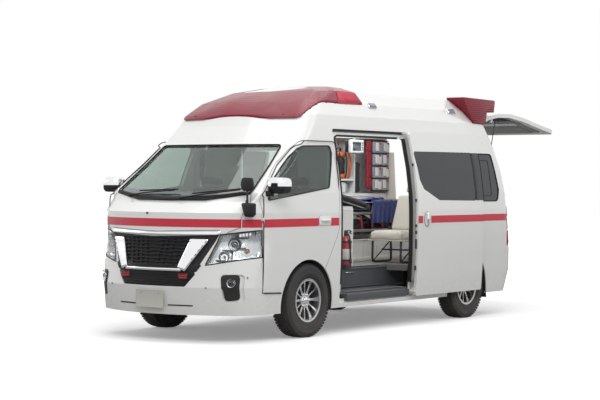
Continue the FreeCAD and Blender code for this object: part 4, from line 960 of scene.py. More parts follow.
@dataclass
class FrontFace:
    """Grille with its bright legs, lamps, bumper openings and the blank plate."""

    slat_low: float = 0.700
    slat_high: float = 0.955
    slats: int = 9
    leg_outer: tuple[tuple[float, float], ...] = ((0.556, 0.934), (0.388, 0.934), (0.292, 0.672), (0.366, 0.640))
    bar_z: tuple[float, float] = (0.952, 0.990)
    bar_reach: float = 0.640
    plate: tuple[float, float, float, float] = (-0.165, 0.165, 0.305, 0.470)

    def slat_rows(self) -> None:
        """Curved horizontal slats across the black grille."""
        pieces = []
        for row in range(self.slats):
            share = row / (self.slats - 1)
            z = self.slat_low + (self.slat_high - self.slat_low) * share
            reach = 0.24 + 0.30 * share
            if row % 3 == 2:
                reach -= 0.01
            line = []
            for k in range(29):
                x = -reach + 2 * reach * k / 28
                wave = 0.004 * math.cos(x * 26 + row * 1.3)
                line.append(BODY.front(x, z + wave) + Vector((0, -0.003, 0)))
            pieces.append(Hand.ribbon(f"grille_slat_{row}", line, (0, -0.016, -0.008), 0.009, bevel=0.0025))
        Hand.finish(Hand.join("grille_slats", pieces), Finishes.black_trim)
        cells = []
        for side in (-1, 1):
            for k in range(7):
                x = side * (0.06 + 0.062 * k)
                high = 0.94
                low = max(0.69, 0.62 + (abs(x) - 0.2) * 1.0)
                line = [BODY.front(x + side * 0.006 * n, low + (high - low) * n / 6) + Vector((0, -0.002, 0))
                        for n in range(7)]
                cells.append(Hand.ribbon(f"grille_rib_{side}_{k}", line, (0, -0.010, 0), 0.005))
        Hand.finish(Hand.join("grille_ribs", cells), Finishes.black_trim)

    def bright_legs(self) -> None:
        """Two thick bright legs that lean in to the middle, and the thin line that joins them."""
        legs = []
        for sign in (-1, 1):
            outline = rounded([(sign * x, z, 0.016) for x, z in self.leg_outer], 4)
            leg = Facing.front(f"grille_leg_{sign}", outline, 0.034, 0.002, 0.03)
            Hand.inset(leg, "y", -1, (0.012, 0.006), square=0.75)
            Hand.apply(leg, "BEVEL", width=0.004, segments=3, limit_method="ANGLE", angle_limit=0.7)
            legs.append(leg)
        line = [BODY.front(x, 0.642, 0.020) for x in [-0.325 + 0.65 * k / 14 for k in range(15)]]
        join = Hand.ribbon("grille_line", line, (0, 0, 0.026), 0.016, bevel=0.004)
        Hand.finish(Hand.join("grille_legs", legs + [join]), Finishes.chrome, smooth=40)
        (low, high), reach = self.bar_z, self.bar_reach
        outline = [(-reach, low + 0.022), (0, low), (reach, low + 0.022), (reach + 0.01, high + 0.016), (0, high),
                   (-reach - 0.01, high + 0.016)]
        Hand.finish(Facing.front("top_bar", dense(outline, 0.08), 0.016, 0.001, 0.05, bevel=0.005), Finishes.chrome)

    def lower_face(self) -> None:
        """Black lower grille with its slats, two small red lamps, and thin slots drawn as strips of painted shadow."""
        outline = rounded([(-0.505, 0.706, 0.01), (-0.360, 0.506, 0.03), (0.360, 0.506, 0.03),
                           (0.505, 0.706, 0.01)], 4)
        backing = Facing.front("lower_grille_back", outline, 0.008, 0.001, 0.05, bevel=0.003)
        Hand.finish(backing, Finishes.black_trim)
        rows = []
        for k in range(6):
            z = 0.526 + 0.022 * k
            reach = 0.345 + (z - 0.508) * 0.72
            line = [BODY.front(-reach + 2 * reach * n / 22, z) + Vector((0, -0.004, 0)) for n in range(23)]
            rows.append(Hand.ribbon(f"lower_slat_{k}", line, (0, -0.016, -0.004), 0.006, bevel=0.0015))
        Hand.finish(Hand.join("lower_grille_slats", rows), Finishes.black_trim)
        lamps, hoods = [], []
        for sign in (-1, 1):
            spot = BODY.front(sign * 0.341, 0.600)
            lens = Hand.box(f"front_warning_{sign}", (spot.x - 0.050, spot.y - 0.034, 0.576),
                            (spot.x + 0.050, spot.y - 0.004, 0.626), 0.008, 3)
            Hand.inset(lens, "y", -1, (0.006, -0.003))
            lamps.append(lens)
            hoods.append(Hand.box(f"front_warning_case_{sign}", (spot.x - 0.056, spot.y - 0.028, 0.570),
                                  (spot.x + 0.056, spot.y + 0.01, 0.632), 0.006, 2))
        Hand.finish(Hand.join("front_warning_lamps", lamps), Finishes.tail_lens)
        Hand.finish(Hand.join("front_warning_cases", hoods), Finishes.black_trim)
        # The thin slots are dark strips laid on the bumper: painted shadow in the openings.
        slots = []
        for sign in (-1, 1):
            line = [BODY.front(sign * (0.185 + (0.430 - 0.185) * n / 8), 0.330, 0.001) for n in range(9)]
            slots.append(Hand.ribbon(f"slot_{sign}", line, (0, 0, 0.012), 0.004))
        Hand.finish(Hand.join("bumper_slot_shadows", slots), Finishes.shadow_gap, "black_trim")

    def fog_pods(self) -> None:
        """Black pods in the bumper's corners, each with a round lamp."""
        for label, sign in SIDES.items():
            outline = rounded([(sign * x, z, r) for x, z, r in
                               ((0.670, 0.612, 0.03), (0.806, 0.622, 0.04), (0.806, 0.392, 0.04),
                                (0.700, 0.382, 0.03))], 5)
            pod = Facing.front(f"fog_pod_{label}", outline, 0.010, 0.001, 0.025, bevel=0.004)
            Hand.finish(pod, Finishes.black_trim)
            spot = BODY.front(sign * 0.752, 0.545)
            ahead = Vector((sign * 0.32, -0.94, 0)).normalized()
            bowl = Hand.disc(f"fog_bowl_{label}", [(0.0, 0.0), (0.030, 0.0), (0.048, -0.022), (0.053, -0.026),
                                                   (0.056, -0.018), (0.056, 0.004)], 36)
            lens = Hand.disc(f"fog_lens_{label}", [(0.0, -0.026), (0.03, -0.024), (0.046, -0.018), (0.046, -0.014),
                                                   (0.0, -0.018)], 36)
            for piece in (bowl, lens):
                piece.rotation_euler = Vector((0, -1, 0)).rotation_difference(ahead).to_euler()
                piece.scale = (0.74, 0.74, 0.74)
                piece.location = spot + ahead * 0.006
            Hand.finish(bowl, Finishes.lamp_silver, "chrome")
            Hand.finish(lens, Finishes.headlight_lens)

    def number_plate(self) -> None:
        """Blank plate with a raised rim and two screws."""
        x0, x1, z0, z1 = self.plate
        front = min(BODY.front(x, z).y for x in (x0, 0, x1) for z in (z0 + 0.03, z1)) - 0.012
        plate = Hand.box("plate", (x0, front - 0.002, z0), (x1, front, z1), 0.0006, 2)
        Hand.inset(plate, "y", -1, (0.006, 0.0), (0.002, -0.0012))
        Hand.finish(plate, Finishes.plate_pale, "body_paint")
        holder = Hand.box("plate_holder", (x0 + 0.04, front, z0 + 0.04), (x1 - 0.04, front + 0.05, z1 - 0.01), 0.004)
        Hand.finish(holder, Finishes.black_trim)
        screws = []
        for x in (-0.105, 0.105):
            screw = Hand.disc(f"plate_screw_{x}", [(0, -0.004), (0.004, -0.0035), (0.006, 0)], 16)
            screw.location = (x, front - 0.002, z1 - 0.03)
            Hand.settle(screw)
            screws.append(screw)
        Hand.finish(Hand.join("plate_screws", screws), Finishes.steel)

    def build(self) -> None:
        """Build everything on the front of the vehicle."""
        self.slat_rows()
        self.bright_legs()
        self.lower_face()
        self.fog_pods()
        self.number_plate()


FRONT_DOOR = [(-2.712, 0.446, 0.01), (-2.712, 1.330, 0.12), (-2.375, 1.600, 0.30), (-2.158, 1.755, 0.30),
              (-2.010, 1.838, 0.13), (-1.526, 1.838, 0.04), (-1.526, 1.000, 0.26), (-1.750, 0.640, 0.0),
              (-1.800, 0.446, 0.0)]
FRONT_WINDOW = [(-2.657, 1.284, 0.018), (-2.543, 1.455, 0.06), (-2.223, 1.690, 0.15), (-2.103, 1.762, 0.06),
                (-2.020, 1.790, 0.05), (-1.582, 1.800, 0.035), (-1.572, 1.734, 0.06), (-1.682, 1.400, 0.04)]
SCREEN = [(-0.805, 1.352, 0.04), (-0.400, 1.288, 0.4), (0.400, 1.288, 0.4), (0.805, 1.352, 0.04),
          (0.712, 1.800, 0.04), (-0.712, 1.800, 0.04)]


def near_side(y: float, z: float, sign: int, lift: float = 0.0, reach: float = 0.014) -> Vector:
    """The flank's place beside a gap: the outermost of a few casts round a point."""
    spots = [BODY.side(y + dy, z + dz, sign) for dy, dz in ((0, 0), (reach, 0), (-reach, 0), (0, reach), (0, -reach))]
    spots = [spot for spot in spots if abs(spot.x) < MISSED_SIDE] or spots
    out = max(abs(spot.x) for spot in spots)
    return Vector((sign * (out + lift), y, z))


def near_front(x: float, z: float, lift: float = 0.0, reach: float = 0.014) -> Vector:
    """The front's place beside a gap: the foremost of a few casts round a point."""
    spots = [BODY.front(x + dx, z + dz) for dx, dz in ((0, 0), (reach, 0), (-reach, 0), (0, reach), (0, -reach))]
    spots = [spot for spot in spots if spot.y > MISSED_FRONT] or spots
    return Vector((x, min(spot.y for spot in spots) - lift, z))


@dataclass
class Stripe:
    """The red band round the body, cut at every shut line."""

    low: float = 1.040
    high: float = 1.114
    thickness: float = 0.0012

    def band(self, name: str, body: str, start: float, end: float, sign: int, skin: Skin | None = None) -> None:
        """One length of the band on a flank.

        Args:
            name: name of the piece.
            body: the body it is painted on.
            start: where it starts along the flank.
            end: where it ends.
            sign: 1 on the left, -1 on the right.
            skin: the surface it lies on, the body's if none.
        """
        outline = [(start, self.low), (end, self.low), (end, self.high), (start, self.high)]
        piece = Facing.side(name, outline, self.thickness, sign, 0.0006, 0.05, skin)
        Hand.finish(piece, Finishes.stripe_red, "body_paint", body=body)

    def build(self) -> None:
        """Lay the band on the front, the doors and the flanks."""
        for name, x0, x1 in (("stripe_front", -0.800, 0.800), ("stripe_wing_left", 0.806, 0.876),
                             ("stripe_wing_right", -0.876, -0.806)):
            outline = [(x0, self.low), (x1, self.low), (x1, self.high), (x0, self.high)]
            Hand.finish(Facing.front(name, outline, self.thickness, 0.0006, 0.03), Finishes.stripe_red, "body_paint")
        tail = TAIL - 0.045
        for label, sign in SIDES.items():
            start = BODY.front(sign * 0.868, 1.077).y + 0.012
            self.band(f"stripe_wing_side_{label}", "vehicle", start, -2.721, sign)
            self.band(f"stripe_door_{label}", f"front_door_{label}", -2.696, -1.873, sign)
            self.band(f"stripe_door_rear_{label}", f"front_door_{label}", -1.673, -1.536, sign)
        self.band("stripe_pillar_left", "vehicle", -1.516, -1.496, 1)
        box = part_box("sliding_door")
        self.band("stripe_slider_front", "vehicle", box[0].y + 0.012, box[0].y + 0.10, 1, SLIDER)
        self.band("stripe_slider", "vehicle", box[0].y + 0.26, box[1].y - 0.003, 1, SLIDER)
        self.band("stripe_quarter_left", "vehicle", box[1].y + 0.001, tail, 1)
        self.band("stripe_flank_right", "vehicle", -1.516, tail, -1)


@dataclass
class ShutLines:
    """Dark rubber in the gaps round doors, lamps and windows, and lines of painted shadow along the bonnet's shut
    lines.
    """

    seal: float = 0.0048
    arch: float = 0.419

    def ring(self, name: str, points: Sequence[Vector], body: str, radius: float, closed: bool = True,
             finish: Finish = Finishes.seal_rubber) -> None:
        """One seal along a line on the skin."""
        piece = Hand.tube(name, points, radius, closed, sides=8, smooth=False)
        Hand.finish(piece, finish, "black_trim", smooth=60, body=body)

    def build(self) -> None:
        """Lay every seal, and the painted shadow lines of the bonnet."""
        for label, sign in SIDES.items():
            gap = 0.0035
            centre = Vector((-2.15, 1.10))
            outline = dense(rounded(FRONT_DOOR, 5), 0.04)
            clear = [(y, z) for y, z in outline if math.hypot(y - FRONT_AXLE + 0.02, z - ARCH_Z) > self.arch]
            start = next(k for k in range(len(clear)) if clear[k][1] < 0.45 and clear[k - 1][1] > 0.5)
            line = []
            for y, z in clear[start:] + clear[:start]:
                way = (Vector((y, z)) - centre).normalized() * gap
                line.append(near_side(y + way.x, z + way.y, sign, -0.0075))
            self.ring(f"door_seal_{label}", line, "vehicle", self.seal, closed=False)
            window = dense(rounded(FRONT_WINDOW, 5), 0.06)
            self.ring(f"window_seal_{label}", [near_side(y, z, sign, -0.001) for y, z in window],
                      f"front_door_{label}", 0.006)
        screen = dense(rounded(SCREEN, 6), 0.06)
        self.ring("screen_seal", [near_front(x, z, -0.001) for x, z in screen], "vehicle", 0.008)
        # The bonnet's shut lines are thin dark tubes laid on the skin: painted shadow in the gaps.
        cuts = []
        for sign in (-1, 1):
            line = [(0.812, 1.340), (0.835, 1.24), (0.803, 1.114), (0.800, 1.040), (0.700, 0.995)]
            points = [near_front(sign * x, z, 0.0005) for x, z in dense(line, 0.03, closed=False)]
            cuts.append(Hand.tube(f"bonnet_line_{sign}", points, 0.0022, sides=6, smooth=False))
        line = [near_front(-0.640 + 1.28 * k / 24, 0.998 + 0.020 * abs(-1 + k / 12), 0.0005) for k in range(25)]
        cuts.append(Hand.tube("bonnet_edge_shadow", line, 0.0022, sides=6, smooth=False))
        Hand.finish(Hand.join("bonnet_gap_shadows", cuts), Finishes.shadow_gap, "black_trim")
        quarter = [(-0.035, 1.778, 0.04), (-0.035, 1.262, 0.04), (1.570, 1.256, 0.06), (1.603, 1.390, 0.12),
                   (1.530, 1.770, 0.05)]
        points = dense(rounded(quarter, 5), 0.08)
        for label, sign in SIDES.items():
            self.ring(f"quarter_seal_{label}", [near_side(y, z, sign, -0.002) for y, z in points], "vehicle", 0.007)
        slide = [(-1.478, 1.772, 0.03), (-1.425, 1.480, 0.06), (-1.360, 1.385, 0.06), (-1.070, 1.272, 0.12),
                 (-0.300, 1.262, 0.04), (-0.300, 1.778, 0.04)]
        self.ring("window_seal_middle_right", [near_side(y, z, -1, -0.002) for y, z in dense(rounded(slide, 5), 0.08)],
                  "vehicle", 0.007)


@dataclass
class DoorHandles:
    """Grip plates of the front doors, and the dish and pull of the sliding door."""

    place: tuple[float, float] = (-1.773, 1.092)

    def recess(self, name: str, spot: Vector, sign: int, size: tuple[float, float], body: str) -> None:
        """An oval dish with a dark rim of painted shadow round its edge; the pull across it is added by the caller.

        Args:
            name: stem of the pieces' names.
            spot: middle of the dish on the skin.
            sign: 1 on the left, -1 on the right.
            size: half its length and half its height.
            body: the body it rides on.
        """
        dish = Hand.lathe(f"{name}_dish", [(0.002, 0, 0), (0.002, 0, 0.70), (0.006, 0, 0.88), (0.0052, 0, 0.98),
                                           (0.0005, 0, 1.0)], (0, 0, 0), (1, 0, 0), 40)
        dish.scale = (sign, size[0], size[1])
        dish.location = spot
        Hand.settle(dish)
        with Hand.edit(dish):
            bpy.ops.mesh.normals_make_consistent(inside=False)
        Hand.finish(dish, Finishes.body_paint, body=body)
        # The dark rim round the dish is painted shadow at the edge of the recess.
        rim = Hand.tube(f"{name}_rim", [spot + Vector((sign * 0.004, size[0] * math.cos(a), size[1] * math.sin(a)))
                                        for a in [2 * math.pi * k / 36 for k in range(36)]], 0.0022, closed=True,
                        smooth=False)
        Hand.finish(rim, Finishes.shadow_gap, "black_trim", body=body)

    def build(self) -> None:
        """Place a handle on every door."""
        y, z = self.place
        for label, sign in SIDES.items():
            spot = BODY.side(y, z, sign)
            outline = rounded([(y - 0.098, z - 0.046, 0.034), (y + 0.098, z - 0.046, 0.034),
                               (y + 0.098, z + 0.046, 0.034), (y - 0.098, z + 0.046, 0.034)], 6)
            plate = Facing.side(f"handle_plate_{label}", outline, 0.004, sign, 0.003, 0.04, bevel=0.0012)
            Hand.finish(plate, Finishes.body_paint, body=f"front_door_{label}")
            # A grey line round the grip plate: painted shadow in the gap round the plate.
            rim = Hand.tube(f"handle_rim_{label}", [near_side(a, b, sign, 0.0015) for a, b in dense(outline, 0.02)],
                            0.0024, closed=True, sides=8, smooth=False)
            Hand.finish(rim, Finishes.lining_grey, "body_paint", body=f"front_door_{label}")
            pull = Hand.box(f"handle_pull_{label}", (spot.x - 0.004, y - 0.066, z - 0.013),
                            (spot.x + 0.026, y + 0.066, z + 0.013), 0.010, 4)
            Hand.inset(pull, "x", -sign, (0.006, -0.003))
            lock = Hand.rod(f"handle_lock_{label}", (spot.x + sign * 0.010, y + 0.052, z),
                            (spot.x + sign * 0.0275, y + 0.052, z), 0.007, 20, bevel=0.001)
            Hand.finish(pull, Finishes.body_paint, body=f"front_door_{label}")
            Hand.finish(lock, Finishes.chrome, body=f"front_door_{label}")
        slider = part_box("sliding_door")
        spot = SLIDER.side(slider[0].y + 0.178, 1.080)
        self.recess("slider_handle", spot, 1, (0.055, 0.075), "vehicle")
        pull = Hand.box("slider_pull", (spot.x, spot.y - 0.015, spot.z - 0.068), (spot.x + 0.024, spot.y + 0.015,
                                                                                spot.z + 0.068), 0.011, 4)
        Hand.inset(pull, "x", 1, (0.004, 0.0015))
        Hand.finish(pull, Finishes.chrome)


@dataclass
class Headlights:
    """Clear lamps with a bright pan, a projector, a low bowl and an amber indicator behind the lens."""

    projector: Point = (0.742, 0.040, 0.885)
    low_bowl: Point = (0.676, 0.036, 0.775)
    indicator: Point = (0.838, 0.030, 0.830)

    def shells(self) -> None:
        """Part the frame's lamp block into a thin lens and the pan behind it."""
        def outer(place: Vector, _: Vector) -> bool:
            """Whether a face lies on the outside of the body."""
            ahead = BODY.front(place.x, place.z)
            beside = BODY.side(place.y, place.z, 1 if place.x > 0 else -1)
            return min((ahead - place).length, (beside - place).length) < 0.003

        lens, pan = (Hand.loose("headlights", name) for name in ("headlight_lens", "headlight_pan"))
        for piece, keep_outer in ((lens, True), (pan, False)):
            with Hand.edit(piece):
                Hand.choose(piece, (lambda p, n: not outer(p, n)) if keep_outer else outer)
                bpy.ops.mesh.delete(type="FACE")
                if not keep_outer:
                    bpy.ops.mesh.select_all(action="SELECT")
                    bpy.ops.mesh.flip_normals()
            if keep_outer:
                edge = Hand.copy(piece, "headlight_edges")
                with Hand.edit(edge, "EDGE"):
                    bpy.ops.mesh.select_all(action="SELECT")
                    bpy.ops.mesh.region_to_loop()
                    bpy.ops.mesh.select_all(action="INVERT")
                    bpy.ops.mesh.delete(type="EDGE")
                Hand.pick(edge)
                bpy.ops.object.convert(target="CURVE")
                edge.data.bevel_depth = 0.0055
                edge.data.bevel_resolution = 2
                bpy.ops.object.convert(target="MESH")
            Hand.apply(piece, "SOLIDIFY", thickness=0.003 if keep_outer else 0.002, offset=-1)
        Hand.finish(lens, Finishes.headlight_lens, replaces=("headlights",))
        Hand.finish(pan, Finishes.lamp_silver, "chrome")
        Hand.finish(bpy.data.objects["headlight_edges"], Finishes.seal_rubber, "black_trim")

    def optics(self, sign: int, label: str) -> None:
        """The lamp units of one side."""
        ahead = Vector((sign * 0.38, -0.92, 0)).normalized()
        turn = Vector((0, -1, 0)).rotation_difference(ahead).to_euler()

        def place(piece: bpy.types.Object, spot: Point) -> None:
            """Stand a piece drawn at the origin in its place."""
            skin = BODY.front(sign * spot[0], spot[2])
            piece.rotation_euler = turn
            piece.location = (sign * (spot[0] - 0.012), skin.y + spot[1], spot[2])

        cup = Hand.disc(f"projector_cup_{label}", [(0.0, 0.030), (0.030, 0.026), (0.050, -0.004), (0.055, -0.012),
                                                   (0.060, -0.006), (0.060, 0.030)], 36)
        ring = Hand.disc(f"projector_ring_{label}", [(0.036, 0.0), (0.038, -0.012), (0.042, -0.012), (0.044, 0.0)], 36)
        eye = Hand.disc(f"projector_eye_{label}", [(0.0, -0.022), (0.014, -0.019), (0.026, -0.011), (0.034, 0.0),
                                                   (0.0, 0.0)], 32)
        for piece, finish, slot in ((cup, Finishes.black_trim, ""), (ring, Finishes.chrome, ""),
                                    (eye, Finishes.screen_dark, "headlight_lens")):
            place(piece, self.projector)
            Hand.finish(piece, finish, slot)
        bowl = Hand.disc(f"low_bowl_{label}", [(0.0, 0.020), (0.022, 0.016), (0.040, 0.002), (0.050, -0.016),
                                               (0.053, -0.016), (0.053, 0.010)], 32)
        place(bowl, self.low_bowl)
        Hand.finish(bowl, Finishes.lamp_silver, "chrome")
        bulb = Hand.disc(f"low_bulb_{label}", [(0.0, -0.016), (0.008, -0.014), (0.012, -0.004), (0.010, 0.016)], 20)
        place(bulb, self.low_bowl)
        Hand.finish(bulb, Finishes.screen_dark, "headlight_lens")
        amber = Hand.disc(f"indicator_{label}", [(0.0, -0.020), (0.012, -0.018), (0.022, -0.006), (0.024, 0.010),
                                                 (0.0, 0.012)], 24)
        place(amber, self.indicator)
        Hand.finish(amber, Finishes.amber_lens, "tail_lens")
        blades = []
        for k, (x, y, z, reach) in enumerate(((0.700, 0.034, 0.832, 0.050), (0.795, 0.040, 0.850, 0.040),
                                               (0.800, 0.036, 0.945, 0.050), (0.650, 0.030, 0.742, 0.040))):
            blade = Hand.box(f"bezel_{label}_{k}", (-reach, -0.020, -0.007), (reach, 0.022, 0.007), 0.004, 3)
            place(blade, (x, y, z))
            Hand.settle(blade)
            blades.append(blade)
        Hand.finish(Hand.join(f"bezels_{label}", blades), Finishes.black_trim)
        steps = []
        for k in range(4):
            block = Hand.box(f"facet_{label}_{k}", (-0.012, -0.012, -0.030), (0.012, 0.014, 0.030), 0.003, 2)
            place(block, (0.788 + 0.021 * k, 0.034, 0.958 + 0.004 * k))
            Hand.settle(block)
            steps.append(block)
        Hand.finish(Hand.join(f"facets_{label}", steps), Finishes.chrome)

    def build(self) -> None:
        """Build both headlights."""
        self.shells()
        for label, sign in SIDES.items():
            self.optics(sign, label)


@dataclass
class RoofLamps:
    """Detail of the front beacon, the rear beacons and the side flashers."""

    flashers: tuple[float, ...] = (-0.653, 0.898)
    flasher_z: float = 2.222

    def front_beacon(self) -> None:
        """Bright end sections, ribs and screws of the front beacon."""
        lamp = Skin("roof_beacons")
        for label, sign in SIDES.items():
            end = Facing.panel(f"beacon_end_{label}", rounded([(-1.150, 2.350, 0.02), (-0.855, 2.350, 0.05),
                                                               (-0.845, 2.238, 0.05), (-1.290, 2.185, 0.02)], 4),
                               lambda y, z: lamp.side(y, z, sign, 0.002), Vector((sign, 0, 0)), 0.003, 0.04)
            Hand.finish(end, Finishes.beacon_bright, "beacon_lens")
            ribs = []
            for k in range(9):
                y = -1.095 + 0.030 * k
                line = [lamp.side(y, 2.230 + 0.020 * n, sign, 0.005) for n in range(6)]
                ribs.append(Hand.tube(f"beacon_rib_{label}_{k}", line, 0.0016, sides=6, smooth=False))
            Hand.finish(Hand.join(f"beacon_ribs_{label}", ribs), Finishes.beacon_lens)
            screws = []
            for y, z in ((-1.905, 2.085), (-1.80, 2.086), (-1.69, 2.093), (-1.58, 2.100), (-1.45, 2.112),
                         (-1.30, 2.145), (-1.12, 2.190), (-0.98, 2.215), (-0.87, 2.232)):
                spot = lamp.side(y, z + 0.012, sign, 0.001)
                if abs(spot.x) > 1.2:
                    continue
                screws.append(Hand.rod(f"beacon_screw_{label}_{y}", spot, spot + Vector((sign * 0.004, 0, 0.001)),
                                       0.0062, 12, bevel=0.001))
            Hand.finish(Hand.join(f"beacon_screws_{label}", screws), Finishes.black_trim)

    def covers(self) -> None:
        """Round the edges of the red covers."""
        cover = Hand.loose("roof_beacons", "beacon_covers")
        Hand.apply(cover, "DECIMATE", decimate_type="DISSOLVE", angle_limit=math.radians(3))
        Hand.apply(cover, "BEVEL", width=0.024, segments=4, limit_method="ANGLE", angle_limit=math.radians(22))
        Hand.finish(cover, Finishes.beacon_lens, replaces=("roof_beacons",), smooth=50)

    def side_flashers(self) -> None:
        """Bright rectangular flashers on the roof's sides."""
        for label, sign in SIDES.items():
            for number, y in enumerate(self.flashers):
                spot = BODY.side(y, self.flasher_z, sign)
                high = BODY.side(y, self.flasher_z + 0.04, sign)
                lean = math.atan2(abs(spot.x) - abs(high.x), 0.04)
                case = Hand.box(f"flasher_case_{label}_{number}", (-0.002, -0.072, -0.031), (0.016, 0.072, 0.031),
                                0.008, 3)
                lens = Hand.box(f"flasher_lens_{label}_{number}", (0.006, -0.058, -0.021), (0.020, 0.058, 0.021),
                                0.006, 3)
                Hand.inset(case, "x", 1, (0.004, -0.004))
                Hand.inset(lens, "x", 1, (0.004, 0.002))
                for piece, finish, slot in ((case, Finishes.chrome, "chrome"),
                                            (lens, Finishes.flasher_lens, "headlight_lens")):
                    piece.rotation_euler = (0, -lean, 0 if sign > 0 else math.pi)
                    piece.location = spot
                    Hand.finish(piece, finish, slot)

    def build(self) -> None:
        """Build all the roof's lamps."""
        self.front_beacon()
        self.covers()
        self.side_flashers()


@dataclass
class TailLamps:
    """Bright and dark sections of the tall tail lamps."""

    sections: tuple[tuple[float, float, str], ...] = ((1.080, 1.195, "red"), (0.945, 1.060, "clear"),
                                                      (0.785, 0.925, "red"))

    def build(self) -> None:
        """Dress both tail lamps."""
        lamp = Skin("tail_lamps")
        for label, sign in SIDES.items():
            for number, (low, high, kind) in enumerate(self.sections):
                outline = rounded([(1.800, low, 0.01), (1.915, low, 0.01), (1.915, high, 0.01), (1.800, high, 0.01)],
                                  3)
                piece = Facing.panel(f"tail_section_{label}_{number}", outline,
                                     lambda y, z: lamp.side(y, z, sign, 0.001), Vector((sign, 0, 0)), 0.004, 0.03,
                                     bevel=0.0015)
                finish = Finishes.beacon_bright if kind == "red" else Finishes.screen_dark
                Hand.finish(piece, finish, "tail_lens")
            outline = rounded([(sign * 0.835, 0.79, 0.01), (sign * 0.890, 0.79, 0.01), (sign * 0.890, 1.19, 0.01),
                               (sign * 0.835, 1.19, 0.01)], 3)
            back = Facing.panel(f"tail_back_{label}", outline, lambda x, z: lamp.tail(x, z, 0.001),
                                Vector((0, 1, 0)), 0.004, 0.03, bevel=0.0015)
            Hand.finish(back, Finishes.beacon_bright, "tail_lens")


@dataclass
class Mirrors:
    """Shaped heads for the door mirrors and the pair of corner mirrors."""

    def door_mirror(self, label: str, sign: int) -> None:
        """A rounded head with a bright cap, a dark underside and its arm."""
        low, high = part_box(f"door_mirror_{label}")
        mid = (low + high) / 2
        outer, inner = (high.x, low.x) if sign > 0 else (low.x, high.x)
        x0, x1 = sorted((outer, inner + sign * 0.022))
        front, rear, z0 = low.y + 0.030, high.y + 0.062, low.z + 0.026
        shell = Hand.box(f"mirror_shell_{label}", (x0, front, z0), (x1, rear, high.z), 0.046, 7)
        with Hand.edit(shell, "VERT"):
            Hand.choose(shell, lambda place, normal: place.y < mid.y, "VERT")
            bpy.ops.transform.resize(value=(0.88, 1, 0.84), center_override=(mid.x, front, (z0 + high.z) / 2))
        glass_y = rear - 0.004
        Hand.inset(shell, "y", 1, (0.004, 0.0), (0.003, -0.008), square=0.99)
        cap = Hand.copy(shell, f"mirror_cap_{label}")
        split = z0 + (high.z - z0) * 0.46
        with Hand.edit(cap):
            for spot, way in (((0, 0, split), (0, 0, 1)), ((0, glass_y - 0.026, 0), (0, -1, 0))):
                bpy.ops.mesh.select_all(action="SELECT")
                bpy.ops.mesh.bisect(plane_co=spot, plane_no=way, clear_inner=True)
        Hand.apply(cap, "SOLIDIFY", thickness=0.003, offset=1.0)
        body = f"front_door_{label}"
        Hand.finish(cap, Finishes.chrome, body=body)
        Hand.finish(shell, Finishes.black_trim, replaces=(f"door_mirror_{label}",), body=body)
        glass = Hand.plate(f"mirror_glass_{label}", [(x, glass_y - 0.006, z) for x, z in rounded(
            [(x0 + 0.022, z0 + 0.020, 0.02), (x1 - 0.022, z0 + 0.020, 0.02), (x1 - 0.022, high.z - 0.020, 0.02),
             (x0 + 0.022, high.z - 0.020, 0.02)], 4)], (0, 0.004, 0), 0.0008)
        Hand.finish(glass, Finishes.chrome, body=body)
        foot = BODY.side(mid.y + 0.02, low.z + 0.020, sign)
        arm = Hand.box(f"mirror_arm_{label}", (min(foot.x - sign * 0.01, x0 if sign > 0 else x1), mid.y - 0.045,
                                               low.z), (max(foot.x - sign * 0.01, x0 + 0.05 if sign > 0 else x1),
                                                        mid.y + 0.045, low.z + 0.055), 0.016, 4)
        Hand.inset(arm, "x", sign, (0.008, 0.004))
        Hand.finish(arm, Finishes.black_trim, body=body)

    def corner_mirror(self) -> None:
        """Two round-cornered heads on one stalk at the left front corner."""
        pieces = []
        for name, outline, y in (("low", [(0.806, 1.262, 0.018), (0.962, 1.262, 0.018), (0.962, 1.150, 0.025),
                                          (0.850, 1.136, 0.030)], -2.908),
                                 ("high", [(0.790, 1.420, 0.030), (0.800, 1.490, 0.035), (0.920, 1.490, 0.035),
                                           (0.930, 1.368, 0.035), (0.812, 1.368, 0.035)], -2.892)):
            points = [(x, y + 0.012, z) for x, z in rounded(outline, 5)]
            head = Hand.plate(f"corner_head_{name}", points, (0, 0.026, 0))
            centre = (sum(p[0] for p in points) / len(points), y, sum(p[2] for p in points) / len(points))
            for grow, depth in ((0.80, 0.008), (0.55, 0.003)):
                with Hand.edit(head):
                    Hand.choose(head, lambda place, normal: normal.y < -0.9 and (place.x - centre[0]) ** 2 +
                                (place.z - centre[2]) ** 2 < 0.0009)
                    bpy.ops.mesh.extrude_region_move(TRANSFORM_OT_translate={"value": (0, -depth, 0)})
                    bpy.ops.transform.resize(value=(grow, 1, grow), center_override=centre)
            Hand.apply(head, "BEVEL", width=0.005, segments=3, limit_method="ANGLE", angle_limit=0.6)
            Hand.inset(head, "y", 1, (0.006, -0.004), square=0.95)
            pieces.append(head)
        stalk = Hand.tube("corner_stalk", [(0.864, -2.815, 1.165), (0.868, -2.845, 1.175), (0.876, -2.884, 1.185),
                                           (0.876, -2.888, 1.230), (0.868, -2.880, 1.320), (0.858, -2.872, 1.400)],
                          0.0095, sides=16)
        collar = Hand.rod("corner_collar", (0.868, -2.884, 1.252), (0.866, -2.881, 1.290), 0.017, 20, 0.012, 0.002)
        foot = Hand.box("corner_foot", (0.838, -2.845, 1.135), (0.892, -2.800, 1.195), 0.012, 3)
        Hand.finish(Hand.join("corner_mirror_parts", pieces + [stalk, collar, foot]), Finishes.black_trim,
                    replaces=("corner_mirror",))

    def build(self) -> None:
        """Build every outside mirror."""
        for label, sign in SIDES.items():
            self.door_mirror(label, sign)
        self.corner_mirror()


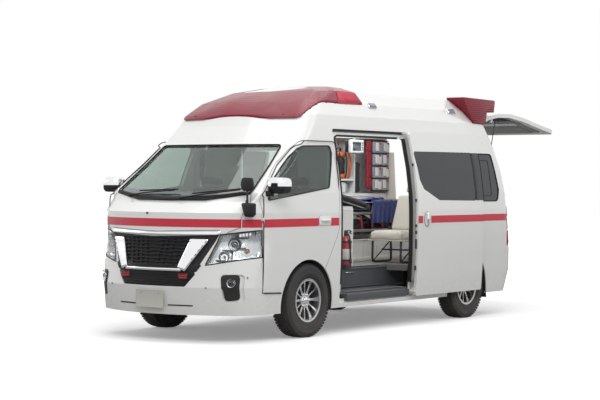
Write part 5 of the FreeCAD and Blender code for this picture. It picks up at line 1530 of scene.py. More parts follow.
@dataclass
class Screen:
    """Cowl, wipers, washer nozzle and the dark band at the foot of the windscreen."""

    def build(self) -> None:
        """Build the cowl and the wipers."""
        low = [(-0.800, 1.338), (-0.60, 1.306), (-0.40, 1.280), (0.0, 1.274), (0.40, 1.280), (0.60, 1.306),
               (0.800, 1.338)]
        high = [(0.800, 1.362), (0.60, 1.336), (0.40, 1.318), (0.0, 1.310), (-0.40, 1.318), (-0.60, 1.336),
                (-0.800, 1.362)]
        cowl = Facing.front("cowl", dense(low + high, 0.06), 0.010, 0.0006, 0.05, bevel=0.003)
        Hand.finish(cowl, Finishes.black_trim)
        ribs = []
        for k in range(3):
            line = [near_front(-0.74 + 1.48 * n / 24, 1.288 + 0.008 * k + 0.060 * abs(-1 + n / 12) ** 2, 0.012)
                    for n in range(25)]
            ribs.append(Hand.tube(f"cowl_rib_{k}", line, 0.0022, sides=6, smooth=False))
        Hand.finish(Hand.join("cowl_ribs", ribs), Finishes.seal_rubber, "black_trim")
        band = [(x, z) for x, z in ((-0.79, 1.362), (-0.40, 1.318), (0, 1.310), (0.40, 1.318), (0.79, 1.362),
                                    (0.775, 1.400), (0.40, 1.362), (0, 1.354), (-0.40, 1.362), (-0.775, 1.400))]
        frit = Facing.front("screen_band", dense(band, 0.06), 0.0008, 0.0004, 0.05)
        Hand.finish(frit, Finishes.screen_dark, "black_trim")
        pieces = []
        for number, (pivot, tip) in enumerate((((-0.560, 1.322), (-0.02, 1.372)), ((0.125, 1.300), (0.690, 1.380)))):
            start, end = near_front(*pivot, 0.022), near_front(*tip, 0.026)
            middle = near_front((pivot[0] + tip[0]) / 2, (pivot[1] + tip[1]) / 2 + 0.006, 0.036)
            pieces.append(Hand.tube(f"wiper_arm_{number}", [start, start.lerp(middle, 0.4), middle, end], 0.007,
                                    sides=12))
            back = near_front(pivot[0] + 0.10, pivot[1] + 0.036, 0.014)
            blade_line = [back.lerp(end, t) + Vector((0, -0.004 * math.sin(math.pi * t), 0)) for t in
                          (0, 0.2, 0.4, 0.6, 0.8, 1.0, 1.12)]
            pieces.append(Hand.ribbon(f"wiper_blade_{number}", blade_line, (0, -0.002, 0.013), 0.009, bevel=0.002))
            pieces.append(Hand.rod(f"wiper_hub_{number}", start + Vector((0, 0.02, -0.008)), start + Vector(
                (0, -0.012, 0.006)), 0.017, 20, 0.013, 0.003))
        Hand.finish(Hand.join("wiper_set", pieces), Finishes.black_trim, replaces=("wipers",))
        nozzle = near_front(-0.108, 1.162, 0.002)
        piece = Hand.disc("washer_nozzle", [(0, -0.006), (0.009, -0.005), (0.013, 0.001)], 20)
        piece.scale = (1.2, 1, 0.7)
        piece.location = nozzle
        Hand.finish(piece, Finishes.black_trim)


@dataclass
class ArchTrim:
    """Liners and walls of the wheel arches, mud flaps, door foot strips and parking sensors."""

    radius: float = 0.410

    def build(self) -> None:
        """Dress the wheel arches and the lower edges."""
        for label, sign in SIDES.items():
            for end, axle in (("front", FRONT_AXLE - 0.02), ("rear", REAR_AXLE)):
                points = []
                for k in range(33):
                    angle = math.pi * (-0.06 + 1.12 * k / 32)
                    y, z = axle + (self.radius + 0.006) * math.cos(angle), ARCH_Z + (self.radius
                        + 0.006) * math.sin(angle)
                    spot = near_side(y, z, sign, 0.0, 0.010)
                    if z > 0.24:
                        points.append(Vector((spot.x - sign * 0.012, axle + self.radius * math.cos(angle),
                                              ARCH_Z + self.radius * math.sin(angle))))
                if len(points) > 3:
                    lip = Hand.ribbon(f"arch_liner_{end}_{label}", points, (-sign * 0.10, 0, 0), 0.004, offset=0)
                    Hand.finish(lip, Finishes.shadow_gap, "chassis_black")
            walls = []
            for end, axle, depth in (("front", FRONT_AXLE - 0.02, 0.50), ("rear", REAR_AXLE, 0.62)):
                for way in (-1, 1):
                    x = sign * depth
                    arc = [(x, axle + way * 0.405 * math.cos(math.radians(a)),
                            ARCH_Z + 0.405 * math.sin(math.radians(a))) for a in range(-8, 50, 8)]
                    inner = axle + way * 0.24
                    walls.append(Hand.plate(f"arch_wall_{end}_{label}_{way}", [(x, inner, 0.262)] + arc +
                                            [(x, inner, 0.620)], (sign * 0.004, 0, 0), 0.0008))
            Hand.finish(Hand.join(f"arch_walls_{label}", walls), Finishes.chassis_black)
            flap_y = REAR_AXLE + self.radius + 0.006
            flap = Hand.box(f"mud_flap_{label}", (sign * 0.84 - 0.075, flap_y - 0.010, 0.200),
                            (sign * 0.84 + 0.075, flap_y + 0.002, 0.430), 0.003, 2)
            with Hand.edit(flap):
                bpy.ops.mesh.subdivide(number_cuts=2)
                Hand.choose(flap, lambda place, normal: place.z < 0.24, "VERT")
                bpy.ops.transform.translate(value=(0, 0.016, 0))
            Hand.finish(flap, Finishes.seal_rubber, "black_trim")
            line = [(-2.700, 0.443), (-2.440, 0.432)]
            strip = [near_side(y, z, sign, 0.002) for y, z in dense(line, 0.04, closed=False)]
            piece = Hand.ribbon(f"door_foot_{label}", strip, (0, 0, 0.012), 0.010, bevel=0.002)
            Hand.finish(piece, Finishes.black_trim, body=f"front_door_{label}")
        dots = []
        for sign in (-1, 1):
            for x, z in ((0.560, 0.500), (0.868, 0.594)):
                spot = near_front(sign * x, z, 0.001)
                dot = Hand.disc(f"sensor_{sign}_{x}", [(0, -0.002), (0.008, -0.0015), (0.0095, 0.001)], 20)
                dot.location = spot
                Hand.settle(dot)
                dots.append(dot)
        Hand.finish(Hand.join("parking_sensors", dots), Finishes.lining_grey, "body_paint")


class Soft:
    """Cushions, pads and bags swollen by a cloth simulation, and the blanket."""

    @staticmethod
    def swell(piece: bpy.types.Object, hold: Callable[[Vector], bool], voxel: float = 0.010, cap: float = 0.016,
              pressure: float = 4.0) -> None:
        """Blow a closed shape up like a sewn cover, held along its seams.

        Args:
            piece: the closed shape, a little smaller than the finished pad.
            hold: says of a place whether it is a seam or a face that rests on something.
            voxel: grid of the cover.
            cap: how far a point may move.
            pressure: how hard it is blown up.
        """
        Hand.apply(piece, "REMESH", mode="VOXEL", voxel_size=voxel)
        start = [vert.co.copy() for vert in piece.data.vertices]
        seam = piece.vertex_groups.new(name="seam")
        seam.add([k for k, spot in enumerate(start) if hold(spot)], 1.0, "REPLACE")
        Hand.pick(piece)
        cover = piece.modifiers.new("cover", "CLOTH")
        cover.settings.quality = 4
        cover.settings.vertex_group_mass = "seam"
        cover.settings.use_pressure = True
        cover.settings.uniform_pressure_force = pressure
        cover.settings.effector_weights.gravity = 0
        cover.collision_settings.use_collision = False
        cover.point_cache.frame_end = 20
        for step in range(1, 21):
            bpy.context.scene.frame_set(step)
        bpy.ops.object.modifier_apply(modifier=cover.name)
        bpy.context.scene.frame_set(1)
        for vert, spot in zip(piece.data.vertices, start):
            move = vert.co - spot
            if move.length > cap:
                vert.co = spot + move * (cap / move.length)
        Hand.apply(piece, "SMOOTH", factor=0.5, iterations=2)
        Hand.apply(piece, "SUBSURF", levels=1, render_levels=1)

    @staticmethod
    def pad(name: str, low: Point, high: Point, finish: Finish, slot: str = "", replaces: Sequence[str] = (),
            seams: Sequence[float] = (), along: int = 1, flat: int = 2, inset: float = 0.010, bevel: float = 0.022,
            voxel: float = 0.010, fill: float = 0.7, turn: tuple[float, Point] | None = None) -> bpy.types.Object:
        """A stuffed pad in a box, with its sewn lines.

        Args:
            name: name of the piece.
            low: lowest corner.
            high: highest corner.
            finish: its cover.
            slot: the record's slot, the finish's own if none.
            replaces: CAD nodes that it stands for.
            seams: places of the sewn lines.
            along: axis on which the sewn lines follow one another.
            flat: axis of the side it rests on, which stays flat.
            inset: how much smaller the shape starts.
            bevel: radius of its edges before swelling.
            voxel: grid of the cover.
            fill: how full it is; not used.
            turn: an angle about X and the point it turns round.

        Returns:
            The new object.
        """
        start, end = [value + inset for value in low], [value - inset for value in high]
        start[flat] = low[flat]
        piece = Hand.box(name, start, end, bevel, 4)

        def held(spot: Vector) -> bool:
            """Seams and the resting side stay where they are."""
            on_line = any(abs(spot[along] - line) < voxel * 0.6 for line in seams)
            return spot[flat] < start[flat] + voxel * 0.6 or on_line

        Soft.swell(piece, held, voxel)
        groove = [vert for vert in piece.data.vertices
                  if any(abs(vert.co[along] - line) < SEAM_REACH for line in seams)]
        for vert in groove:
            near = min(abs(vert.co[along] - line) for line in seams)
            if vert.co[flat] > end[flat] - bevel:
                vert.co[flat] -= SEAM_DEPTH * (1 - near / SEAM_REACH) ** 0.5
        if turn:
            Hand.turn(piece, turn[0], "X", turn[1])
        Hand.finish(piece, finish, slot, replaces, smooth=180)
        return piece


@dataclass
class Stretcher:
    """Mattress, raised backrest, straps, rails and the blanket."""

    mattress: tuple[Point, Point] = ((-0.442, 0.300, 1.136), (0.082, 1.520, 1.226))
    backrest_foot: float = -0.382
    rails: tuple[float, float] = (-0.440, 0.080)

    def build(self) -> None:
        """Build the stretcher's soft parts and its ironwork."""
        low, high = self.mattress
        pad = Soft.pad("mattress_pad", low, high, Finishes.pad_black, seams=(0.60, 0.95, 1.25), voxel=0.013,
                       replaces=("stretcher_mattress",))
        rise, span = 1.356 - 1.150, 0.290 - self.backrest_foot
        lean = math.atan2(rise - 0.075, span)
        Soft.pad("backrest_pad", (low[0], self.backrest_foot, 1.172), (high[0], 0.285, 1.248), Finishes.pad_black,
                 seams=(-0.16, 0.07), voxel=0.012, turn=(-lean, (0, 0.285, 1.222)))
        board = Hand.box("backrest_board", (low[0] + 0.01, self.backrest_foot, 1.152), (high[0] - 0.01, 0.285, 1.168),
                         0.004)
        Hand.turn(board, -lean, "X", (0, 0.285, 1.222))
        Hand.finish(board, Finishes.steel)
        for number, y in enumerate((1.16, 1.40)):
            line = [(0.100, y, 1.120), (0.096, y, 1.180), (0.070, y, 1.226), (0.0, y, 1.244), (-0.18, y, 1.247),
                    (-0.36, y, 1.244), (-0.432, y, 1.224), (-0.456, y, 1.180), (-0.460, y, 1.120)]
            strap = Hand.ribbon(f"strap_{number}", line, (0, 0.048, 0), 0.003, bevel=0.0008, offset=1)
            Hand.finish(strap, Finishes.stripe_red, "kit_mixed")
            buckle = Hand.box(f"buckle_{number}", (-0.20, y - 0.032, 1.247), (-0.14, y + 0.080, 1.262), 0.006, 3)
            Hand.inset(buckle, "z", 1, (0.008, -0.003))
            Hand.finish(buckle, Finishes.pad_black)
        for number, x in enumerate(self.rails):
            side = -1 if number == 0 else 1
            line = [(x, 0.34, 1.12), (x + side * 0.014, 0.34, 1.235), (x + side * 0.014, 0.40, 1.262),
                    (x + side * 0.014, 0.94, 1.262), (x + side * 0.014, 1.00, 1.235), (x, 1.00, 1.12)]
            Hand.finish(Hand.tube(f"guard_rail_{number}", line, 0.009, sides=14), Finishes.steel)
        self.blanket(pad)

    def blanket(self, pad: bpy.types.Object) -> None:
        """The blue blanket over the backrest's foot, hanging on the door side.

        Args:
            pad: the mattress it lies on.
        """
        across, down = 0.790, 0.640
        bend_start, bend_end, bend = 0.520, 0.585, 0.065
        edge, radius, top, corner = 0.104, 0.041, 1.262, 1.221
        Hand.clear()
        bpy.ops.mesh.primitive_plane_add(size=1, location=(0, 0, 0))
        cloth = bpy.context.object
        cloth.name = "blanket_cloth"
        with Hand.edit(cloth):
            bpy.ops.mesh.select_all(action="SELECT")
            bpy.ops.mesh.subdivide(number_cuts=66)
        for vert in cloth.data.vertices:
            u, v = vert.co.x + 0.5, vert.co.y + 0.5
            reach = u * across
            y = 0.312 + v * 0.600
            wave = 0.011 * math.sin(v * 23.0 + 1.5 * math.sin(u * 5.0)) + 0.006 * math.sin(v * 41.0 + u * 9.0)
            if reach < bend_start:
                spot = (-0.416 + reach, y, top + wave * (0.35 + 0.65 * u) + 0.030 * math.exp(-((v - 0.2) * 5) ** 2))
            elif reach < bend_end:
                turn = (reach - bend_start) / bend * math.pi / 2
                spot = (edge + radius * math.sin(turn) - 0.030, y,
                        top - radius * (1 - math.cos(turn)) + wave * (1 - turn / 2))
            else:
                fall = reach - bend_end
                spot = (edge + 0.011 + wave * (0.3 + 3.0 * fall), y + 0.02 * math.sin(v * 7) * fall * 3, corner - fall)
            vert.co = spot
        Hand.pick(pad)
        rest = pad.modifiers.new("rest", "COLLISION")
        pad.collision.thickness_outer = 0.004
        Hand.pick(cloth)
        sheet = cloth.modifiers.new("sheet", "CLOTH")
        sheet.settings.quality = 6
        sheet.settings.mass = 0.2
        sheet.settings.bending_stiffness = 0.6
        sheet.collision_settings.distance_min = 0.004
        sheet.point_cache.frame_end = 16
        held = cloth.vertex_groups.new(name="held")
        held.add([k for k, v in enumerate(cloth.data.vertices) if v.co.x < -0.39 or 0.06 < v.co.x < 0.105 and
                  v.co.z > 1.235], 1.0, "REPLACE")
        sheet.settings.vertex_group_mass = "held"
        for step in range(1, 17):
            bpy.context.scene.frame_set(step)
        bpy.ops.object.modifier_apply(modifier=sheet.name)
        bpy.context.scene.frame_set(1)
        pad.modifiers.remove(rest)
        Hand.apply(cloth, "SOLIDIFY", thickness=0.004, offset=0)
        Hand.apply(cloth, "SUBSURF", levels=1, render_levels=1)
        Hand.finish(cloth, Finishes.blanket_blue, replaces=("blanket",), smooth=180)


@dataclass
class Seats:
    """The cab's two seats and the attendant's folding seat."""

    def cab_seat(self, label: str, sign: int) -> None:
        """Cushion, back, head restraint and base of one cab seat."""
        x = sign * 0.530
        name = "cab_seats" if sign > 0 else ""
        Soft.pad(f"cab_cushion_{label}", (x - 0.235, -2.115, 0.770), (x + 0.235, -1.640, 0.935), Finishes.cab_fabric,
                 seams=(-2.00, -1.78), voxel=0.015, replaces=(name,) if name else ())
        Soft.pad(f"cab_back_{label}", (x - 0.225, -1.700, 0.940), (x + 0.225, -1.590, 1.400), Finishes.cab_fabric,
                 seams=(1.08, 1.24), along=2, flat=1, voxel=0.015)
        Soft.pad(f"cab_headrest_{label}", (x - 0.130, -1.690, 1.410), (x + 0.130, -1.600, 1.505), Finishes.cab_fabric,
                 flat=1, voxel=0.012)
        base = Hand.box(f"cab_seat_base_{label}", (x - 0.215, -2.08, 0.742), (x + 0.215, -1.62, 0.772), 0.012, 2)
        Hand.inset(base, "z", -1, (0.03, 0.004))
        Hand.finish(base, Finishes.dash_plastic)

    def attendant(self) -> None:
        """Ivory folding seat on dark tubular legs."""
        Soft.pad("attendant_cushion", (0.300, -0.070, 0.852), (0.720, 0.360, 0.945), Finishes.seat_vinyl, voxel=0.011,
                 replaces=("attendant_seat",))
        pan = Hand.box("attendant_pan", (0.305, -0.062, 0.838), (0.715, 0.352, 0.856), 0.006, 2)
        Hand.inset(pan, "z", -1, (0.02, -0.008))
        Hand.finish(pan, Finishes.seat_vinyl)
        lean = math.radians(22)
        foot = (0, 0.350, 0.920)
        Soft.pad("attendant_back", (0.312, 0.320, 0.925), (0.708, 0.398, 1.355), Finishes.seat_vinyl, along=2, flat=1,
                 voxel=0.011, turn=(-lean, foot))
        Soft.pad("attendant_headrest", (0.395, 0.322, 1.368), (0.625, 0.386, 1.480), Finishes.seat_vinyl, along=2,
                 flat=1, voxel=0.011, turn=(-lean, foot))
        tubes = []
        for number, x in enumerate((0.335, 0.685)):
            tubes.append(Hand.tube(f"seat_leg_{number}", [(x, 0.325, 0.845), (x, 0.330, 0.70), (x, 0.330, 0.632),
                                                          (x, 0.30, 0.622), (x, 0.0, 0.622), (x, -0.030, 0.632),
                                                          (x, -0.030, 0.70), (x, -0.025, 0.845)], 0.012, sides=16))
            tubes.append(Hand.rod(f"seat_brace_{number}", (x + 0.012, -0.020, 0.640), (x + 0.012, 0.300, 0.838),
                                  0.007, 14))
        tubes.append(Hand.rod("seat_cross", (0.335, 0.150, 0.745), (0.685, 0.150, 0.745), 0.008, 14))
        for number, x in enumerate((0.325, 0.695)):
            tubes.append(Hand.box(f"seat_hinge_{number}", (x - 0.012, 0.300, 0.850), (x + 0.012, 0.385, 0.985), 0.006))
        Hand.finish(Hand.join("attendant_frame", tubes), Finishes.pad_black)

    def build(self) -> None:
        """Build every seat."""
        for label, sign in SIDES.items():
            self.cab_seat(label, sign)
        self.attendant()


@dataclass
class Kit:
    """Bags, pouches, monitor, suction unit and fire bottle of the treatment room."""

    @staticmethod
    def spun(name: str, profile: Sequence[tuple[float, float]], foot: tuple[float, float]) -> bpy.types.Object:
        """An upright turned shape; its profile is (radius, height).

        Args:
            name: name of the piece.
            profile: the outline, from one end to the other.
            foot: place of its axis.

        Returns:
            The new object.
        """
        points = [(foot[0] + radius, foot[1], height) for radius, height in profile]
        return Hand.lathe(name, points, (foot[0], foot[1], 0), (0, 0, 1), 36)

    def bags(self) -> None:
        """Orange and black bag on the shelf and the tall red bag beside the pouches."""
        Soft.pad("shoulder_bag_mid", (-0.752, 0.572, 1.545), (-0.556, 0.800, 1.740), Finishes.pad_black, voxel=0.010,
                 fill=0.6, replaces=("equipment",))
        Soft.pad("shoulder_bag_top", (-0.756, 0.566, 1.728), (-0.552, 0.806, 1.796), Finishes.orange_cloth,
                 "kit_mixed", voxel=0.010, fill=0.6, seams=(0.69,))
        Soft.pad("shoulder_bag_foot", (-0.756, 0.566, 1.492), (-0.552, 0.806, 1.558), Finishes.orange_cloth,
                 "kit_mixed", voxel=0.010, fill=0.6)
        Soft.pad("splint_bag_red", (-0.548, 1.135, 1.365), (-0.502, 1.255, 1.935), Finishes.kit_mixed, voxel=0.009,
                 seams=(1.50, 1.65, 1.80), along=2, flat=0, fill=0.5)
        Soft.pad("breathing_bag", (-0.745, 0.958, 1.337), (-0.562, 1.108, 1.690), Finishes.pad_black, voxel=0.010,
                 fill=0.6)
        side = [(-0.553, 0.792, 1.500), (-0.534, 0.792, 1.56), (-0.530, 0.792, 1.65), (-0.534, 0.792, 1.73),
                (-0.553, 0.792, 1.79)]
        Hand.finish(Hand.ribbon("bag_side_band", side, (0, 0.044, 0), 0.004, bevel=0.001), Finishes.orange_cloth,
                    "kit_mixed")
        bits = []
        for y in (0.625, 0.745):
            line = [(-0.553, y, 1.500), (-0.538, y, 1.56), (-0.534, y, 1.65), (-0.538, y, 1.73), (-0.553, y, 1.79)]
            bits.append(Hand.ribbon(f"bag_strap_{y}", line, (0, 0.026, 0), 0.002))
        line = [(-0.620, 0.640, 1.798), (-0.616, 0.650, 1.830), (-0.612, 0.688, 1.842), (-0.616, 0.725, 1.830),
                (-0.620, 0.735, 1.798)]
        bits.append(Hand.ribbon("bag_grip", line, (0.026, 0, 0), 0.004))
        Hand.finish(Hand.join("bag_straps", bits), Finishes.pad_black)

    def pouches(self) -> None:
        """Board of clear pouches with white packs and small red caps."""
        board = Hand.box("pouch_board", (-0.550, 1.262, 1.352), (-0.540, 1.598, 1.938), 0.003)
        Hand.inset(board, "x", 1, (0.010, -0.002))
        Hand.finish(board, Finishes.pad_black)
        films, packs, caps = [], [], []
        first = Hand.box("pouch", (-0.540, 1.270, 1.362), (-0.506, 1.426, 1.490), 0.012, 4)
        Hand.inset(first, "x", 1, (0.012, -0.004))
        pack = Hand.box("pack", (-0.507, 1.290, 1.385), (-0.498, 1.352, 1.480), 0.004, 3)
        Hand.inset(pack, "x", 1, (0.008, 0.002))
        cap = Hand.rod("pack_cap", (-0.508, 1.385, 1.470), (-0.494, 1.385, 1.470), 0.013, 20, bevel=0.003)
        for row in range(4):
            for column in range(2):
                step = (0, 0.166 * column, 0.143 * row)
                films.append(Hand.copy(first, f"pouch_{row}_{column}", step))
                packs.append(Hand.copy(pack, f"pack_{row}_{column}", (0, 0.166 * column + 0.004 * row, 0.143 * row)))
                if (row + column) % 2 == 0:
                    packs.append(Hand.copy(pack, f"pack_low_{row}_{column}", (0, step[1] + 0.066, step[2] - 0.012)))
                caps.append(Hand.copy(cap, f"pack_cap_{row}_{column}", (0, step[1] + 0.012 * (row % 2), step[2])))
        for piece in (first, pack, cap):
            bpy.data.objects.remove(piece)
        Hand.finish(Hand.join("pouch_films", films), Finishes.pouch_film, "kit_mixed")
        Hand.finish(Hand.join("pouch_packs", packs), Finishes.cabinet_white)
        Hand.finish(Hand.join("pouch_caps", caps), Finishes.stripe_red, "kit_mixed")
        frames = []
        for row in range(5):
            frames.append(Hand.box(f"pouch_seam_{row}", (-0.541, 1.264, 1.352 + 0.143 * row),
                                   (-0.518, 1.596, 1.362 + 0.143 * row), 0.002))
        Hand.finish(Hand.join("pouch_seams", frames), Finishes.pad_black)

    def machines(self) -> None:
        """Monitor on its arm, the suction unit and its white case."""
        case = Hand.box("monitor_case", (-0.468, 0.682, 1.777), (-0.420, 0.938, 1.928), 0.014, 4)
        Hand.inset(case, "x", 1, (0.004, 0.0), (0.012, -0.004))
        Hand.finish(case, Finishes.cabinet_white)
        face = Hand.box("monitor_screen", (-0.428, 0.704, 1.798), (-0.4225, 0.880, 1.910), 0.002, 2)
        Hand.inset(face, "x", 1, (0.004, -0.0008))
        Hand.finish(face, Finishes.screen_dark, "headlight_lens")
        knobs = [Hand.rod(f"monitor_knob_{k}", (-0.424, 0.908, 1.815 + 0.026 * k), (-0.416, 0.908, 1.815 + 0.026 * k),
                          0.007, 16, bevel=0.0015) for k in range(4)]
        knobs.append(Hand.rod("monitor_arm", (-0.468, 0.81, 1.85), (-0.55, 0.81, 1.85), 0.016, 20, 0.022, 0.002))
        knobs.append(Hand.box("monitor_bracket", (-0.562, 0.76, 1.79), (-0.548, 0.86, 1.91), 0.006))
        Hand.finish(Hand.join("monitor_fittings", knobs), Finishes.pad_black)
        unit = Hand.box("suction_case", (-0.768, 0.470, 1.334), (-0.556, 0.780, 1.450), 0.016, 4)
        Hand.inset(unit, "x", 1, (0.012, -0.004))
        Hand.finish(unit, Finishes.cabinet_white)
        jar = Kit.spun("suction_jar", [(0.0, 1.336), (0.036, 1.336), (0.040, 1.346), (0.040, 1.421), (0.034, 1.434),
                                       (0.0, 1.438)], (-0.620, 0.825))
        Hand.finish(jar, Finishes.pouch_film, "kit_mixed")
        knobs = [Hand.rod(f"suction_dial_{k}", (-0.561, 0.53 + 0.07 * k, 1.395), (-0.550, 0.53 + 0.07 * k, 1.395),
                          0.014 if k < 2 else 0.022, 24, bevel=0.002) for k in range(3)]
        Hand.finish(Hand.join("suction_dials", knobs), Finishes.pad_black)

    def bottle(self) -> None:
        """Fire bottle with its black head, hose and the straps that hold it."""
        x, y = 0.800, -1.210
        shell = Kit.spun("fire_bottle", [(0.0, 0.620), (0.040, 0.620), (0.054, 0.632), (0.055, 0.660), (0.055, 0.860),
                                         (0.050, 0.895), (0.034, 0.922), (0.020, 0.932), (0.0, 0.934)], (x, y))
        Hand.finish(shell, Finishes.bottle_red, "kit_mixed")
        band = Kit.spun("fire_bottle_band", [(0.0548, 0.700), (0.0562, 0.702), (0.0562, 0.800), (0.0548, 0.802)],
                        (x, y))
        Hand.finish(band, Finishes.plate_pale, "cabinet_white")
        bits = [Kit.spun("fire_base", [(0.046, 0.602), (0.056, 0.602), (0.057, 0.650), (0.0545, 0.652)], (x, y)),
                Kit.spun("fire_head", [(0.0, 0.984), (0.014, 0.984), (0.020, 0.974), (0.022, 0.930), (0.0, 0.928)],
                         (x, y))]
        for k, rise in enumerate((0.0, 0.020)):
            bits.append(Hand.ribbon(f"fire_lever_{k}", [(x, y - 0.010, 0.968 + rise * 0.4),
                                                        (x, y + 0.040, 0.966 + rise), (x, y + 0.076, 0.946 + rise)],
                                    (0.020, 0, 0), 0.004))
        bits.append(Hand.tube("fire_hose", [(x + 0.020, y - 0.010, 0.952), (x + 0.045, y - 0.020, 0.948),
                                            (x + 0.062, y - 0.020, 0.900), (x + 0.062, y - 0.014, 0.800),
                                            (x + 0.062, y - 0.010, 0.715)], 0.008, sides=12))
        bits.append(Hand.rod("fire_nozzle", (x + 0.062, y - 0.010, 0.715), (x + 0.062, y - 0.008, 0.665), 0.010, 16,
                             0.014, 0.002))
        for k, z in enumerate((0.690, 0.870)):
            bits.append(Kit.spun(f"fire_strap_{k}", [(0.0552, z - 0.010), (0.0585, z - 0.010), (0.0585, z + 0.010),
                                                     (0.0552, z + 0.010)], (x, y)))
        Hand.finish(Hand.join("fire_fittings", bits), Finishes.pad_black)

    def build(self) -> None:
        """Stow the whole kit."""
        self.bags()
        self.pouches()
        self.machines()
        self.bottle()


def near_slider(y: float, z: float) -> Vector:
    """A place just proud of the sliding door beside one of its edges."""
    spot = SLIDER.side(y - 0.012, z, 1)
    return Vector((spot.x + 0.001, y, z))


@dataclass
class SlidingDoorTrim:
    """Edge seals, latches, the dark rear pane and the seals of the doorway."""

    edge: float = -0.231

    def edge_strip(self, name: str, inner: float, width: float, thickness: float, finish: Finish, slot: str,
                   span: tuple[float, float] = (0.440, 1.900)) -> None:
        """A strip on the door's front end face.

        Args:
            name: name of the piece.
            inner: how far inside the outer skin it starts.
            width: how wide it is.
            thickness: how proud it stands.
            finish: its finish.
            slot: the record's slot.
            span: its lower and upper end.
        """
        low, high = span
        line = []
        for k in range(30):
            z = low + (high - low) * k / 29
            outer = SLIDER.side(-0.205, z, 1).x
            line.append((outer - inner, self.edge, z))
        strip = Hand.ribbon(name, line, (-width, 0, 0), thickness, bevel=thickness * 0.3)
        Hand.finish(strip, finish, slot)

    def build(self) -> None:
        """Trim the sliding door and its doorway."""
        self.edge_strip("slider_seal", 0.058, 0.046, 0.018, Finishes.seal_rubber, "black_trim")
        self.edge_strip("slider_end_lining", 0.026, 0.032, 0.006, Finishes.lining_grey, "cabinet_white",
                        (0.455, 1.895))
        latches = []
        for k, (z, tall) in enumerate(((0.560, 0.05), (0.780, 0.10), (0.930, 0.035), (1.000, 0.03), (1.260, 0.03),
                                       (1.620, 0.03))):
            outer = SLIDER.side(-0.205, z, 1).x
            latch = Hand.box(f"slider_latch_{k}", (outer - 0.026, self.edge - 0.010, z),
                             (outer - 0.010, self.edge + 0.004, z + tall), 0.004, 2)
            Hand.inset(latch, "y", -1, (0.003, -0.002))
            latches.append(latch)
        Hand.finish(Hand.join("slider_latches", latches), Finishes.pad_black)
        pane = Facing.side("slider_pane_rear", rounded([(0.956, 1.268, 0.002), (1.114, 1.268, 0.002),
                                                        (1.114, 1.774, 0.002), (0.956, 1.774, 0.002)], 2),
                           0.002, 1, 0.0006, 0.04, SLIDER)
        Hand.finish(pane, Finishes.privacy_glass)
        for k, y in enumerate((0.972, 1.116)):
            line = [near_slider(y, 1.268 + 0.506 * n / 20) for n in range(21)]
            Hand.finish(Hand.tube(f"slider_pane_gap_{k}", line, 0.006, sides=8, smooth=False), Finishes.seal_rubber,
                        "black_trim")
        glass = Skin("side_windows")
        for label, sign in SIDES.items():
            frame_line = [glass.side(y, z, sign, 0.001) for y, z in dense(rounded(
                [(1.180, 1.315, 0.03), (1.440, 1.315, 0.03), (1.440, 1.700, 0.03), (1.180, 1.700, 0.03)], 4), 0.05)]
            Hand.finish(Hand.tube(f"vent_frame_{label}", frame_line, 0.004, closed=True, sides=8, smooth=False),
                        Finishes.shadow_gap, "black_trim")
        line = [Vector((0.9, y, z)) for y, z in ((-1.449, 0.470), (-1.449, 1.842), (-1.431, 1.886), (-1.387, 1.904),
                                                 (-0.250, 1.904))]
        path = []
        for first, second in zip(line, line[1:]):
            count = max(2, int((second - first).length / 0.06))
            for k in range(count):
                y, z = first.y + (second.y - first.y) * k / count, first.z + (second.z - first.z) * k / count
                probe = BODY.side(y - 0.016 if z < 1.86 else y, z + (0.016 if z > 1.86 else 0), 1)
                path.append(Vector((probe.x + 0.002, y, z)))
        seal = Hand.tube("doorway_lines", path, 0.0115, sides=10, smooth=False)
        Hand.finish(seal, Finishes.seal_rubber, "black_trim")


